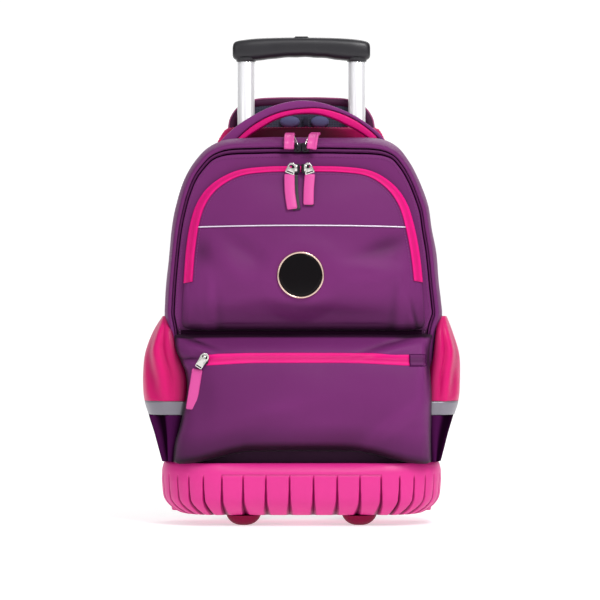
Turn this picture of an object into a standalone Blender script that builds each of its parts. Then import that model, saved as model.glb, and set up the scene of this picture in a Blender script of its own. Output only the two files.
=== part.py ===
"""Wheeled school backpack with a telescopic trolley handle.

The model is in metres with +Z up. The bag stands on the plane z = 0, its front faces -Y,
and the origin lies under the middle of its bounding box. The sizes below are in
millimetres, and MM turns them into metres where a mesh is made.
"""

import math
from collections import namedtuple

import bmesh
import bpy
import numpy as np

MM = 0.001

# One cross-section of the bag seen from the front: its height and its reach to each side.
Section = namedtuple("Section", "z left right")
# One ring of a bag wall: its place from front to back, and how far it lies inside the outline.
Ring = namedtuple("Ring", "y inset")
# One soft dent or swelling of a pocket face. The depth is negative where the cloth swells.
Dent = namedtuple("Dent", "x z length width angle depth")
# One row of a side pocket: its widest reach, its front seam on each side, and its pleat depth.
PocketRow = namedtuple("PocketRow", "z reach front_left front_right pleat")
# One row of the moulded base: how far it lies inside the plan, and its grooves' depth and half width.
BaseRow = namedtuple("BaseRow", "z inset groove_depth groove_half_width")
# One station of a shoulder strap.
StrapStation = namedtuple("StrapStation", "x y z width thickness")
# One station of the trolley grip.
GripStation = namedtuple("GripStation", "x half_depth bottom top")

# Clearances and walls
GAP = 0.4
CLOTH = 2.2
MOULDED_WALL = 2.5

# Main compartment
SHELL_FLOOR = 18.0
SHELL_CROWN = 450.0
SHELL_REAR = 35.4
SHELL_FRONT = -58.0
SHELL_SECTIONS = [
    Section(18.0, 84, 84),
    Section(19.5, 110, 110),
    Section(27.0, 127, 127),
    Section(42.0, 137, 137),
    Section(75.0, 143, 143),
    Section(105.0, 151, 151),
    Section(140.0, 154, 154),
    Section(200.0, 155, 156),
    Section(243.0, 156.5, 157.5),
    Section(276.0, 156.5, 158),
    Section(320.0, 153.5, 155.5),
    Section(344.0, 150.5, 151.5),
    Section(367.0, 146, 148),
    Section(389.0, 140, 141),
    Section(408.0, 132.5, 133),
    Section(423.0, 123, 124.5),
    Section(438.0, 109, 112),
    Section(447.0, 90, 94),
    Section(449.6, 50, 50),
]
SHELL_OUTER_RINGS = [
    Ring(SHELL_REAR, 9.0),
    Ring(32.5, 3.0),
    Ring(24.0, 0.6),
    Ring(-5.0, 0.0),
    Ring(-42.0, 3.6),
    Ring(SHELL_FRONT, 10.5),
]
ZIP_BAND_INSETS = (13.0, 20.0)
ZIP_BAND_Y = (-60.8, -58.6)
ZIP_END_HEIGHT = 204.0
PANEL_FACE = -63.0
PANEL_WALL = 2.2

# Rear of the bag: tube housing, padded back and its arch
GUSSET_Y = (SHELL_REAR + GAP, 66.0)
GUSSET_FLOOR = 74.5
GUSSET_CROWN = 465.3
GUSSET_SECTIONS = [
    Section(74.5, 60, 60),
    Section(75.5, 100, 100),
    Section(86.0, 116, 116),
    Section(120.0, 124, 124),
    Section(200.0, 132, 132),
    Section(330.0, 129, 129),
    Section(400.0, 117, 117),
    Section(440.0, 103, 103),
    Section(456.0, 95, 96),
    Section(463.5, 89, 91),
    Section(465.0, 80, 82),
    Section(465.2, 40, 40),
]
BACK_Y = (66.4, 82.0)
BACK_FLOOR = 84.0
BACK_CROWN = 502.6
BACK_SECTIONS = [
    Section(84.0, 60, 60),
    Section(85.0, 96, 96),
    Section(96.0, 114, 114),
    Section(130.0, 124, 124),
    Section(200.0, 130, 130),
    Section(330.0, 127, 127),
    Section(400.0, 115, 115),
    Section(440.0, 99, 99),
    Section(462.0, 88.5, 88.5),
    Section(478.0, 85, 85),
    Section(492.0, 75, 75),
    Section(500.0, 58, 58),
    Section(502.4, 30, 30),
]

# Small forms on the front of the arch: place and half width of each pad, and the loop's route
YOKE_PADS = {"left": (-13.8, 12.0), "right": (22.0, 11.0)}
YOKE_PAD_HEIGHT = 473.6
YOKE_PAD_HALF_HEIGHT = 6.9
YOKE_PAD_RINGS = [(0.9, -GAP), (1.0, -2.5), (0.7, -5.2)]
YOKE_PAD_DEPTH = -6.0
YOKE_PAD_STEPS = 12
LOOP_X = 5.5
LOOP_ROUTE = [(65.1, 478.0), (60.5, 478.5), (60.5, 470.0), (65.1, 469.0)]
LOOP_SECTION = (6.0, 1.5)
TUBE_HOLE_REACH = 12.0
TUBE_HOLE_PLAY = 0.7

# Upper pocket
POCKET_RIM = PANEL_FACE - GAP
UPPER_FLOOR = 223.0
UPPER_CROWN = 414.0
UPPER_CENTRE = (0.0, 305.0)
UPPER_SECTIONS = [
    Section(223.0, 70, 70),
    Section(223.5, 112, 116),
    Section(229.0, 129, 134),
    Section(250.0, 134, 140),
    Section(280.0, 135.5, 139.5),
    Section(319.0, 132.5, 135),
    Section(350.0, 127.5, 128.5),
    Section(370.0, 121, 122),
    Section(387.0, 110, 111.5),
    Section(400.0, 94, 97),
    Section(409.0, 74, 79),
    Section(413.2, 45, 50),
]
UPPER_GUSSET = [(0.0, 0.0), (1.5, 6.0), (8.0, 11.0)]
UPPER_FACE_SHARES = [0.12, 0.30, 0.52, 0.76]
UPPER_SWELL = 17.0
UPPER_REACH = (136.0, 34.0, 96.0)
UPPER_DENTS = [
    Dent(0, 258, 120, 36, 0, -6.0),
    Dent(-64, 316, 34, 11, -36, 3.0),
    Dent(-113, 317, 10, 16, 0, 3.0),
    Dent(90, 325, 16, 13, 20, 3.0),
    Dent(0, 400, 60, 14, 0, 3.0),
]
UPPER_ZIP_OUTER = [(0.0, 7.9), (6.7, 13.0)]
UPPER_ZIP_INNER = [(1.1, 6.5), (7.6, 11.5)]
UPPER_ZIP_END = 278.0
PIPING_HEIGHT = 346.0
PIPING_REACH = (-118.0, 119.0)
BADGE_CENTRE = (-1.0, 289.0)
BADGE_RADIUS = 27.0
BADGE_RING_WIDTH = 2.4
BADGE_STEPS = 20

# Lower pocket
LOWER_CROWN = 220.0
LOWER_SECTIONS = [
    Section(74.0, 147, 149),
    Section(94.0, 145, 148),
    Section(111.0, 140, 148),
    Section(128.0, 136, 148.5),
    Section(158.0, 130.5, 148.5),
    Section(178.0, 132.5, 147),
    Section(190.0, 137.5, 146),
    Section(205.0, 144, 146.5),
    Section(220.0, 145.5, 150),
]
LOWER_DEPTHS = {
    "share": [0.0, 0.025, 0.10, 0.22, 0.42, 0.62, 0.78, 0.86, 0.95, 1.0],
    "depth": [0.0, 19.0, 31.0, 37.0, 40.6, 37.5, 31.5, 26.5, 12.0, 0.0],
}
LOWER_WIDTHS = {
    "side": [0.0, 0.5, 0.80, 0.93, 0.985, 1.0],
    "share": [1.0, 1.0, 0.94, 0.80, 0.62, 0.0],
}
LOWER_HEMS = {"side": [0.0, 0.35, 0.75, 1.0], "z": [85.0, 84.0, 77.0, 76.0]}
LOWER_DROOP = 6.0
LOWER_COLUMNS = [-1, -0.985, -0.94, -0.84, -0.7, -0.5, -0.25, 0, 0.25, 0.5, 0.7, 0.84, 0.94, 0.985, 1]
LOWER_CENTRE_Z = 148.0
LOWER_REACH = (145.0, 40.6, 70.0)
LOWER_DENTS = [
    Dent(60, 100, 60, 22, 12, 3.0),
    Dent(-110, 150, 14, 30, 0, 3.0),
]
LOWER_ZIP_SHARES = (0.75, 0.78, 0.85)
LOWER_ZIP_SIDES = (-0.80, 0.845)
LOWER_TAB_SIDES = (0.855, 0.95)
LOWER_ZIP_LIFT = 0.7
LOWER_ZIP_THICKNESS = 1.5
LOWER_TAB_THICKNESS = 2.6

# Side pockets
SIDE_CENTRE_Y = -8.0
SIDE_FRONT_Y = -65.9
SIDE_REAR = (158.6, 32.0)
SIDE_BULGE_POWER = 0.75
SIDE_UPPER_ROWS = [
    PocketRow(241.0, 166.0, 148.5, 153.0, 0.8),
    PocketRow(222.0, 172.0, 148.5, 152.5, 1.0),
    PocketRow(200.0, 180.5, 144.5, 149.5, 0.8),
    PocketRow(172.0, 183.0, 134.5, 149.5, 0.9),
    PocketRow(143.8, 182.0, 135.5, 150.0, 0.3),
]
SIDE_BAND_ROWS = [
    PocketRow(143.4, 182.2, 136.0, 150.0, 0.0),
    PocketRow(128.0, 177.5, 139.0, 150.2, 0.0),
]
SIDE_LOWER_ROWS = [
    PocketRow(127.6, 177.0, 139.0, 150.2, 0.3),
    PocketRow(108.0, 171.0, 143.5, 150.2, 0.6),
    PocketRow(88.0, 165.5, 147.5, 150.4, 0.3),
    PocketRow(74.0, 161.5, 149.5, 151.5, 0.0),
]
SIDE_COLUMNS = 15
SIDE_PLEATS = 6

# Moulded base
BASE_HALF_WIDTH = 163.7
BASE_FRONT = -88.0
BASE_REAR = 40.0
BASE_CORNER = 70.0
BASE_LIP_SIDE_SHARE = 0.35
BASE_ROWS = [
    BaseRow(12.0, 26.0, 4.6, 3.6),
    BaseRow(18.5, 12.5, 4.4, 3.1),
    BaseRow(32.0, 2.0, 3.0, 1.9),
    BaseRow(61.0, 0.0, 1.6, 0.9),
    BaseRow(64.0, 0.8, 0.2, 0.7),
    BaseRow(69.5, 4.5, 0.0, 0.7),
    BaseRow(73.0, 11.0, 0.0, 0.7),
]
BASE_INNER_ROWS = [
    BaseRow(73.0, 14.0, 0.0, 0.7),
    BaseRow(30.0, 9.0, 0.0, 0.7),
    BaseRow(16.4, 24.0, 0.0, 0.7),
]
BASE_LIP_START = 61.0
BASE_LIP_TURN = (60.0, 130.0)
RIB_COUNT = 12
RIB_PITCH = 27.5
RIB_LEAST_PITCH = 17.0
RIB_NARROWING = 0.35

# Feet, wheels and the frame that carries them
FOOT_PLACE = (67.0, -46.0)
FOOT_PROFILE = [(0.0, 0.0), (6.0, 0.0), (12.5, 2.4), (17.0, 6.2), (20.0, 11.6), (0.0, 11.6)]
TUBE_X = 66.0
TUBE_Y = 53.5
WHEEL_Y = 72.0
WHEEL_RADIUS = 30.0
TYRE_HALF_WIDTH = 13.0
TYRE_SHOULDER = (28.2, 3.0)
TYRE_SIDE = 25.0
TYRE_TREAD_MARGIN = 8.0
HUB_RADIUS = 20.0
HUB_BOSS = (8.0, 13.5)
HUB_WEB = (10.0, 6.0)
HUB_RIM = 11.0
WHEEL_STEPS = 20
AXLE_RADIUS = 3.0
AXLE_HEAD = (5.0, 2.0)
AXLE_BORE_REACH = 25.0
WHEEL_PLAY = 0.5
CHEEK_INSIDE = 14.5
CHEEK_OUTSIDE = 18.0
CHEEK_OUTLINE = [(41, 66), (98, 66), (97, 52), (90, 33), (81, 19), (72, 15), (63, 19), (54, 33), (41, 50)]
DECK_Z = (64.0, 70.0)
DECK_OUTLINE = [
    (-88, 40.6), (88, 40.6), (88, 94), (83, 99), (49, 99), (45, 94),
    (45, 66), (-45, 66), (-45, 94), (-49, 99), (-83, 99), (-88, 94),
]

# Telescopic handle: outer radius, wall, lower end and upper end of each tube at rest
OUTER_TUBE = (12.0, 1.0, 77.6, 457.0)
MIDDLE_TUBE = (10.5, 1.2, 195.0, 544.0)
INNER_TUBE = (8.8, 1.0, 215.0, 558.0)
GRIP_SOCKET = 9.2
GRIP_SOCKET_FLOOR = 535.0
GRIP_CENTRE = 560.0
GRIP_STEPS = 10
GRIP_POWER = 0.7
GRIP_STATIONS = [
    GripStation(-82, 5.0, 551, 563),
    GripStation(-79, 9.5, 547, 568),
    GripStation(-66, 12.0, 545, 571),
    GripStation(-50, 12.0, 546, 572.5),
    GripStation(-25, 11.5, 549, 573.5),
    GripStation(0, 11.5, 550, 574),
    GripStation(25, 11.5, 549, 573.5),
    GripStation(50, 12.0, 546, 572.5),
    GripStation(66, 12.0, 545, 571),
    GripStation(79, 9.5, 547, 568),
    GripStation(82, 5.0, 551, 563),
]

# Carry handle
HANDLE_Y = 8.0
HANDLE_APEX = 495.0
HANDLE_RADIUS = 128.0
HANDLE_PAD = (9.0, 11.0)
HANDLE_PAD_ANGLE = 45.0
HANDLE_TRIM = (6.5, 9.0)
HANDLE_TRIM_ANGLE = 41.5
HANDLE_STATIONS = 11

# Shoulder straps, the right one; the left mirrors it
STRAP_STATIONS = [
    StrapStation(43, 87.8, 446, 50, 8.0),
    StrapStation(49, 93.0, 420, 55, 9.0),
    StrapStation(64, 98.6, 370, 58, 9.0),
    StrapStation(80, 99.5, 315, 57, 9.0),
    StrapStation(88, 98.6, 265, 50, 9.0),
    StrapStation(89, 96.5, 222, 40, 8.5),
]
BUCKLE_SIZE = (34.0, 6.0, 24.0)
BUCKLE_CENTRE = (89.5, 95.5, 207.0)
BUCKLE_SLOT = (24.0, 12.0, 5.2)
BUCKLE_SLOT_DROP = 5.6
WEBBING_ROUTE = [(91, 94.5, 193), (97, 92.0, 160), (104, 88.0, 128), (109, 84.6, 104)]
WEBBING_SECTION = (20.0, 1.6)

# Zip pulls: the tab's middle line from its slider to its free end
PULL_WIDTH = 12.5
PULL_THICKNESS = 3.0
SLIDER_SIZE = (8.5, 4.0, 12.0)
MAIN_SLIDERS = {"left": (-10.5, -65.5, 433.0), "right": (10.5, -65.5, 433.0)}
MAIN_PULLS = {
    "left": [(-14.5, -71, 434), (-14.3, -70, 442), (-14, -60, 449.6), (-13.6, -44, 452.6), (-13.4, -34, 453.8)],
    "right": [(11.5, -71, 434), (12.5, -70, 442), (13.8, -60, 449.6), (15.4, -44, 452.8), (16.6, -32, 454.4)],
}
UPPER_SLIDERS = {"left": (-12.0, 408.5), "right": (8.6, 408.5)}
UPPER_PULLS = {"left": [(-11.5, 401), (-13.5, 384), (-15.5, 362)], "right": [(8.6, 401), (9.4, 386), (9.2, 367)]}
UPPER_PULL_LIFT = 3.2
LOWER_SLIDER = (-114.0, 192.0)
LOWER_SLIDER_PLACE = (-0.80, 0.80)
LOWER_SLIDER_LIFT = 5.4
LOWER_PULL = [(-117.5, 184), (-121.0, 162), (-125.5, 138)]
LOWER_PULL_LIFT = 4.4
LOWER_PULL_HALF_WIDTH = 133.0

# Surface colours in sRGB, with roughness and metallic value
FINISHES = {
    "purple_nylon": ((128, 60, 122), 0.55, 0.0),
    "dark_purple_nylon": ((74, 34, 84), 0.6, 0.0),
    "magenta_nylon": ((214, 34, 116), 0.55, 0.0),
    "magenta_zip_tape": ((238, 48, 142), 0.5, 0.0),
    "pink_rubber": ((240, 66, 158), 0.45, 0.0),
    "pink_pull_tab": ((245, 85, 175), 0.4, 0.0),
    "navy_mesh": ((44, 44, 66), 0.8, 0.0),
    "reflective_grey": ((142, 138, 148), 0.35, 0.2),
    "reflective_piping": ((226, 214, 232), 0.3, 0.3),
    "crimson_tyre": ((166, 32, 86), 0.55, 0.0),
    "black_plastic": ((24, 22, 28), 0.4, 0.0),
    "black_enamel": ((14, 10, 14), 0.12, 0.0),
    "pale_gold": ((222, 190, 176), 0.25, 1.0),
    "polished_aluminium": ((236, 238, 240), 0.18, 1.0),
    "bright_steel": ((205, 205, 210), 0.25, 1.0),
}


def linear(channel):
    """Scene-linear value of one sRGB channel from 0 to 255."""
    share = channel / 255
    return share / 12.92 if share <= 0.04045 else ((share + 0.055) / 1.055) ** 2.4


def finish(name):
    """The named material, made the first time it is asked for."""
    found = bpy.data.materials.get(name)
    if found:
        return found
    colour, roughness, metallic = FINISHES[name]
    material = bpy.data.materials.new(name)
    material.use_nodes = True
    shader = material.node_tree.nodes["Principled BSDF"]
    shader.inputs["Base Color"].default_value = (*map(linear, colour), 1.0)
    shader.inputs["Roughness"].default_value = roughness
    shader.inputs["Metallic"].default_value = metallic
    return material


def clear_scene():
    """Removes what the scene holds."""
    for old in list(bpy.data.objects):
        bpy.data.objects.remove(old, do_unlink=True)


def add_solid(name, points, faces, material, origin=(0.0, 0.0, 0.0), sharp=40.0):
    """Object from points in millimetres, with its origin at the given place."""
    local = (np.asarray(points, float) - np.asarray(origin, float)) * MM
    mesh = bpy.data.meshes.new(name)
    mesh.from_pydata([tuple(point) for point in local], [], [tuple(face) for face in faces])
    shape = bmesh.new()
    shape.from_mesh(mesh)
    bmesh.ops.recalc_face_normals(shape, faces=shape.faces)
    shape.to_mesh(mesh)
    shape.free()
    mesh.shade_smooth()
    mesh.set_sharp_from_angle(angle=math.radians(sharp))
    mesh.materials.append(finish(material))
    made = bpy.data.objects.new(name, mesh)
    made.location = [value * MM for value in origin]
    bpy.context.scene.collection.objects.link(made)
    return made


def smooth_curve(points, closed=False, steps=10):
    """Centripetal curve through the points, with the given steps from each to the next."""
    control = np.asarray(points, float)
    if closed:
        control = np.vstack([control[-1], control, control[:2]])
    else:
        control = np.vstack([2 * control[0] - control[1], control, 2 * control[-1] - control[-2]])
    curve = []
    for before, start, end, after in zip(control, control[1:], control[2:], control[3:]):
        spans = [math.sqrt(math.dist(a, b)) for a, b in ((before, start), (start, end), (end, after))]
        k0, k1, k2, k3 = np.cumsum([0.0] + spans)
        for t in np.linspace(k1, k2, steps, endpoint=False):
            a = between(before, start, k0, k1, t)
            b = between(start, end, k1, k2, t)
            c = between(end, after, k2, k3, t)
            curve.append(between(between(a, b, k0, k2, t), between(b, c, k1, k3, t), k1, k2, t))
    if not closed:
        curve.append(control[-2])
    return np.array(curve)


def between(first, last, start, end, t):
    """The mix of two points for t between start and end."""
    return (first * (end - t) + last * (t - start)) / (end - start)


def resample(curve, count, closed=False):
    """The curve's points again, evenly spaced along it."""
    line = np.vstack([curve, curve[:1]]) if closed else np.asarray(curve, float)
    travelled = np.concatenate([[0.0], np.cumsum(np.linalg.norm(np.diff(line, axis=0), axis=1))])
    places = np.linspace(0.0, travelled[-1], count, endpoint=not closed)
    return np.stack([np.interp(places, travelled, column) for column in line.T], axis=1)


def outline(sections, floor, crown, count):
    """Closed outline in x and z, from the middle of the floor up the right side and round."""
    right = [(row.right, row.z) for row in sections]
    left = [(-row.left, row.z) for row in reversed(sections)]
    return resample(smooth_curve([(0.0, floor), *right, (0.0, crown), *left], closed=True), count, closed=True)


def inset(loop, distance):
    """The outline moved inward by a distance, or by one distance for each point."""
    tangent = np.roll(loop, -1, axis=0) - np.roll(loop, 1, axis=0)
    tangent /= np.linalg.norm(tangent, axis=1, keepdims=True)
    inward = np.stack([-tangent[:, 1], tangent[:, 0]], axis=1)
    return loop + inward * np.reshape(distance, (-1, 1))


def upright(loop, y):
    """An x, z outline placed at a depth, which may differ from point to point."""
    return np.stack([loop[:, 0], np.broadcast_to(y, len(loop)), loop[:, 1]], axis=1)


def stack(name, rings, material, poles=None, **options):
    """Solid through closed rings of points. The first and last close at the poles, or on each other."""
    count = len(rings[0])
    points = [point for ring in rings for point in ring]
    faces = []
    pairs = list(zip(range(len(rings)), range(1, len(rings))))
    if poles is None:
        pairs.append((len(rings) - 1, 0))
    for low, high in pairs:
        for at in range(count):
            after = (at + 1) % count
            faces.append((low * count + at, low * count + after, high * count + after, high * count + at))
    if poles is not None:
        for pole, start in zip(poles, (0, (len(rings) - 1) * count)):
            points.append(pole)
            tip = len(points) - 1
            faces.extend((start + at, start + (at + 1) % count, tip) for at in range(count))
    return add_solid(name, points, faces, material, **options)


def sheet(name, outer, inner, material, **options):
    """Cloth wall between an outer and an inner grid of points, closed along its four edges."""
    rows, columns = outer.shape[:2]
    behind = rows * columns
    points = np.vstack([outer.reshape(-1, 3), inner.reshape(-1, 3)])
    faces = []
    for row in range(rows - 1):
        for column in range(columns - 1):
            at = row * columns + column
            quad = (at, at + 1, at + columns + 1, at + columns)
            faces.append(quad)
            faces.append(tuple(behind + index for index in reversed(quad)))
    border = list(range(columns))
    border += [row * columns + columns - 1 for row in range(1, rows)]
    border += [(rows - 1) * columns + column for column in reversed(range(columns - 1))]
    border += [row * columns for row in reversed(range(1, rows - 1))]
    for here, there in zip(border, border[1:] + border[:1]):
        faces.append((here, there, behind + there, behind + here))
    return add_solid(name, points, faces, material, **options)


def sweep(name, path, across, section, material, **options):
    """Solid bar along a path. The section's points lie along the across direction and the bar's normal."""
    path = np.asarray(path, float)
    tangents = np.gradient(path, axis=0)
    tangents /= np.linalg.norm(tangents, axis=1, keepdims=True)
    across = np.broadcast_to(np.asarray(across, float), path.shape)
    across = across - tangents * np.sum(across * tangents, axis=1, keepdims=True)
    across = across / np.linalg.norm(across, axis=1, keepdims=True)
    normals = np.cross(tangents, across)
    sections = section if callable(section) else lambda index: section
    rings = [
        [path[i] + a * across[i] + b * normals[i] for a, b in sections(i)]
        for i in range(len(path))
    ]
    poles = (np.mean(rings[0], axis=0), np.mean(rings[-1], axis=0))
    return stack(name, rings, material, poles=poles, **options)


def flat_section(width, thickness):
    """Four corners of a thin bar."""
    half, deep = width / 2, thickness / 2
    return [(-half, -deep), (half, -deep), (half, deep), (-half, deep)]


def rounded_section(width, thickness, edge=0.35):
    """Eight points round a flat bar with eased corners."""
    half, deep = width / 2, thickness / 2
    ease = edge * thickness
    return [
        (-half + ease, -deep), (half - ease, -deep), (half, -deep + ease), (half, deep - ease),
        (half - ease, deep), (-half + ease, deep), (-half, deep - ease), (-half, -deep + ease),
    ]


def turned(name, profile, centre, axis, steps, material, closed=True, **options):
    """Solid turned round an axis through its centre. The profile holds radius and height."""
    along = np.eye(3)["XYZ".index(axis)]
    side = np.eye(3)[("XYZ".index(axis) + 1) % 3]
    up = np.cross(along, side)
    angles = [(step + 0.5) * 2 * math.pi / steps for step in range(steps)]
    full = [point for point in profile if point[0] > 0]
    rings = [
        [np.array(centre) + along * h + r * (math.cos(a) * side + math.sin(a) * up) for a in angles]
        for r, h in full
    ]
    poles = None if closed else tuple(np.array(centre) + along * profile[end][1] for end in (0, -1))
    return stack(name, rings, material, poles=poles, origin=centre, **options)


def extruded(name, points, offset, material, **options):
    """Prism from a flat outline, drawn out along an offset."""
    near = np.asarray(points, float)
    far = near + np.asarray(offset, float)
    count = len(near)
    faces = [tuple(range(count)), tuple(range(2 * count - 1, count - 1, -1))]
    faces += [(i, (i + 1) % count, count + (i + 1) % count, count + i) for i in range(count)]
    return add_solid(name, np.vstack([near, far]), faces, material, **options)


def combine(target, helper, operation):
    """Boolean of the target with a helper, which stays hidden."""
    modifier = target.modifiers.new(helper.name, "BOOLEAN")
    modifier.operation = operation
    modifier.object = helper
    modifier.solver = "EXACT"
    helper.hide_render = True
    helper.display_type = "WIRE"


def rounded_block(name, centre, size, material, bevel=1.0):
    """Small block with eased edges."""
    shape = bmesh.new()
    bmesh.ops.create_cube(shape, size=1.0)
    bmesh.ops.scale(shape, vec=[value * MM for value in size], verts=shape.verts)
    bmesh.ops.bevel(shape, geom=shape.edges[:], offset=bevel * MM, segments=1, affect="EDGES")
    mesh = bpy.data.meshes.new(name)
    shape.to_mesh(mesh)
    shape.free()
    mesh.materials.append(finish(material))
    made = bpy.data.objects.new(name, mesh)
    made.location = [value * MM for value in centre]
    bpy.context.scene.collection.objects.link(made)
    return made


def dent_depth(dents, x, z):
    """How far the cloth sinks at a place, from all the dents of its face."""
    total = 0.0
    for dent in dents:
        turn = math.radians(dent.angle)
        along = (x - dent.x) * math.cos(turn) + (z - dent.z) * math.sin(turn)
        aside = (z - dent.z) * math.cos(turn) - (x - dent.x) * math.sin(turn)
        total += dent.depth * math.exp(-((along / dent.length) ** 2) - (aside / dent.width) ** 2)
    return total


def hollow(points, centre, reach, wall=CLOTH):
    """The points drawn in towards a centre, so that the cloth between has about the given wall."""
    shares = 1 - wall / np.asarray(reach, float)
    return np.asarray(centre) + (np.asarray(points) - np.asarray(centre)) * shares


def shell_loop(count=36):
    """The main compartment's outline."""
    return outline(SHELL_SECTIONS, SHELL_FLOOR, SHELL_CROWN, count)


def main_shell():
    """Cloth tub of the main compartment, open to the front inside the zip."""
    loop = shell_loop()
    outer = [upright(inset(loop, ring.inset), ring.y) for ring in SHELL_OUTER_RINGS]
    inner = []
    for ring in reversed(SHELL_OUTER_RINGS):
        y = ring.y if ring.y == SHELL_FRONT else min(ring.y + 0.8, SHELL_REAR - CLOTH)
        inner.append(upright(inset(loop, ring.inset + CLOTH), y))
    middle = np.mean(loop, axis=0)
    poles = ((middle[0], SHELL_REAR, middle[1]), (middle[0], SHELL_REAR - CLOTH, middle[1]))
    stack("main_shell", outer + inner, "purple_nylon", poles=poles)


def front_panel():
    """Front of the main compartment, inside the zip above and sewn to the tub below."""
    loop = shell_loop()
    edge = np.where(loop[:, 1] > ZIP_END_HEIGHT, ZIP_BAND_INSETS[1] + GAP, SHELL_OUTER_RINGS[-1].inset + 0.5)
    rings = [
        upright(inset(loop, edge + 4), PANEL_FACE),
        upright(inset(loop, edge), PANEL_FACE + 1.2),
        upright(inset(loop, edge), PANEL_FACE + PANEL_WALL + 1.2),
        upright(inset(loop, edge + 4), PANEL_FACE + PANEL_WALL),
    ]
    x, z = np.mean(loop, axis=0)
    stack("front_panel", rings, "purple_nylon", poles=((x, PANEL_FACE, z), (x, PANEL_FACE + PANEL_WALL, z)))


def arch_part(loop, lowest):
    """Which points of an outline lie above a height, in order from right to left."""
    return [index for index in range(len(loop)) if loop[index, 1] > lowest]


def main_zipper():
    """Zip band round the opening of the main compartment."""
    loop = shell_loop()
    arch = arch_part(loop, ZIP_END_HEIGHT)
    edges = [inset(loop, distance)[arch] for distance in ZIP_BAND_INSETS]
    outer = np.array([upright(edge, ZIP_BAND_Y[0]) for edge in edges])
    inner = np.array([upright(edge, ZIP_BAND_Y[1]) for edge in edges])
    sheet("main_zipper", outer, inner, "dark_purple_nylon")


def rear_gusset():
    """Magenta band round the trolley tubes, with two holes that the tubes rise through."""
    loop = outline(GUSSET_SECTIONS, GUSSET_FLOOR, GUSSET_CROWN, 32)
    rings = [
        upright(loop, GUSSET_Y[0]),
        upright(loop, GUSSET_Y[1]),
        upright(inset(loop, MOULDED_WALL), GUSSET_Y[1]),
        upright(inset(loop, MOULDED_WALL), GUSSET_Y[0]),
    ]
    band = stack("rear_gusset", rings, "magenta_nylon")
    for side, sign in (("left", -1), ("right", 1)):
        radius = MIDDLE_TUBE[0] + TUBE_HOLE_PLAY
        reach = TUBE_HOLE_REACH
        profile = [(0, -reach), (radius, -reach), (radius, reach), (0, reach)]
        place = (sign * TUBE_X, TUBE_Y, GUSSET_CROWN)
        hole = turned(f"tube_hole_{side}", profile, place, "Z", 16, "magenta_nylon", closed=False)
        combine(band, hole, "DIFFERENCE")


def back_panel():
    """Padded back with the arch that stands up behind the tubes."""
    loop = outline(BACK_SECTIONS, BACK_FLOOR, BACK_CROWN, 32)
    x, z = np.mean(loop, axis=0)
    rings = [
        upright(inset(loop, 2.5), BACK_Y[0]),
        upright(loop, BACK_Y[0] + 3),
        upright(loop, BACK_Y[1] - 8),
        upright(inset(loop, 3), BACK_Y[1] - 3),
        upright(inset(loop, 9), BACK_Y[1]),
    ]
    stack("back_panel", rings, "navy_mesh", poles=((x, BACK_Y[0], z), (x, BACK_Y[1], z)))


def yoke_pads():
    """Two small oval pads and a hanging loop on the front of the back's arch."""
    turns = [2 * math.pi * step / YOKE_PAD_STEPS for step in range(YOKE_PAD_STEPS)]
    for side, (x, half) in YOKE_PADS.items():
        rings = []
        for share, lift in YOKE_PAD_RINGS:
            wide, tall = share * half, share * YOKE_PAD_HALF_HEIGHT
            y = BACK_Y[0] + lift
            rings.append([(x + wide * math.cos(a), y, YOKE_PAD_HEIGHT + tall * math.sin(a)) for a in turns])
        poles = [(x, BACK_Y[0] + lift, YOKE_PAD_HEIGHT) for lift in (-GAP, YOKE_PAD_DEPTH)]
        stack(f"yoke_pad_{side}", rings, "navy_mesh", poles=poles)
    route = smooth_curve([(LOOP_X, y, z) for y, z in LOOP_ROUTE], steps=4)
    sweep("hang_loop", route, (1, 0, 0), flat_section(*LOOP_SECTION), "navy_mesh")


def upper_loop(count=36):
    """The upper pocket's outline."""
    return outline(UPPER_SECTIONS, UPPER_FLOOR, UPPER_CROWN, count)


def upper_face_depth(x, z):
    """How far the upper pocket's face stands off its rim at a place."""
    edge = inset(upper_loop(), UPPER_GUSSET[-1][0])
    offsets = edge - UPPER_CENTRE
    angles = np.arctan2(offsets[:, 1], offsets[:, 0])
    order = np.argsort(angles)
    reach = np.interp(
        math.atan2(z - UPPER_CENTRE[1], x - UPPER_CENTRE[0]),
        angles[order], np.linalg.norm(offsets, axis=1)[order], period=2 * math.pi,
    )
    share = min(math.dist((x, z), UPPER_CENTRE) / reach, 1.0)
    swell = UPPER_SWELL * (1 - share ** 2.6)
    fade = 1 - share ** 8
    return UPPER_GUSSET[-1][1] + swell - fade * dent_depth(UPPER_DENTS, x, z)


def upper_pocket():
    """Cloth pocket of the upper front, open at its rim towards the panel."""
    loop = upper_loop()
    outer = [upright(inset(loop, distance), POCKET_RIM - lift) for distance, lift in UPPER_GUSSET]
    edge = inset(loop, UPPER_GUSSET[-1][0])
    for share in UPPER_FACE_SHARES:
        flat = edge + (np.array(UPPER_CENTRE) - edge) * share
        outer.append(upright(flat, [POCKET_RIM - upper_face_depth(x, z) for x, z in flat]))
    x, z = UPPER_CENTRE
    pole = (x, POCKET_RIM - upper_face_depth(x, z), z)
    centre = (x, POCKET_RIM, z)
    inner = [hollow(ring, centre, UPPER_REACH) for ring in outer]
    poles = (pole, hollow(pole, centre, UPPER_REACH))
    stack("upper_pocket", outer[::-1] + inner, "purple_nylon", poles=poles)


def upper_pocket_zipper():
    """Magenta zip band over the slope between the upper pocket's rim and its face."""
    loop = upper_loop()
    arch = arch_part(loop, UPPER_ZIP_END)
    outer = np.array([upright(inset(loop, d)[arch], POCKET_RIM - lift) for d, lift in UPPER_ZIP_OUTER])
    inner = np.array([upright(inset(loop, d)[arch], POCKET_RIM - lift) for d, lift in UPPER_ZIP_INNER])
    sheet("upper_pocket_zipper", outer, inner, "magenta_zip_tape")


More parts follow.
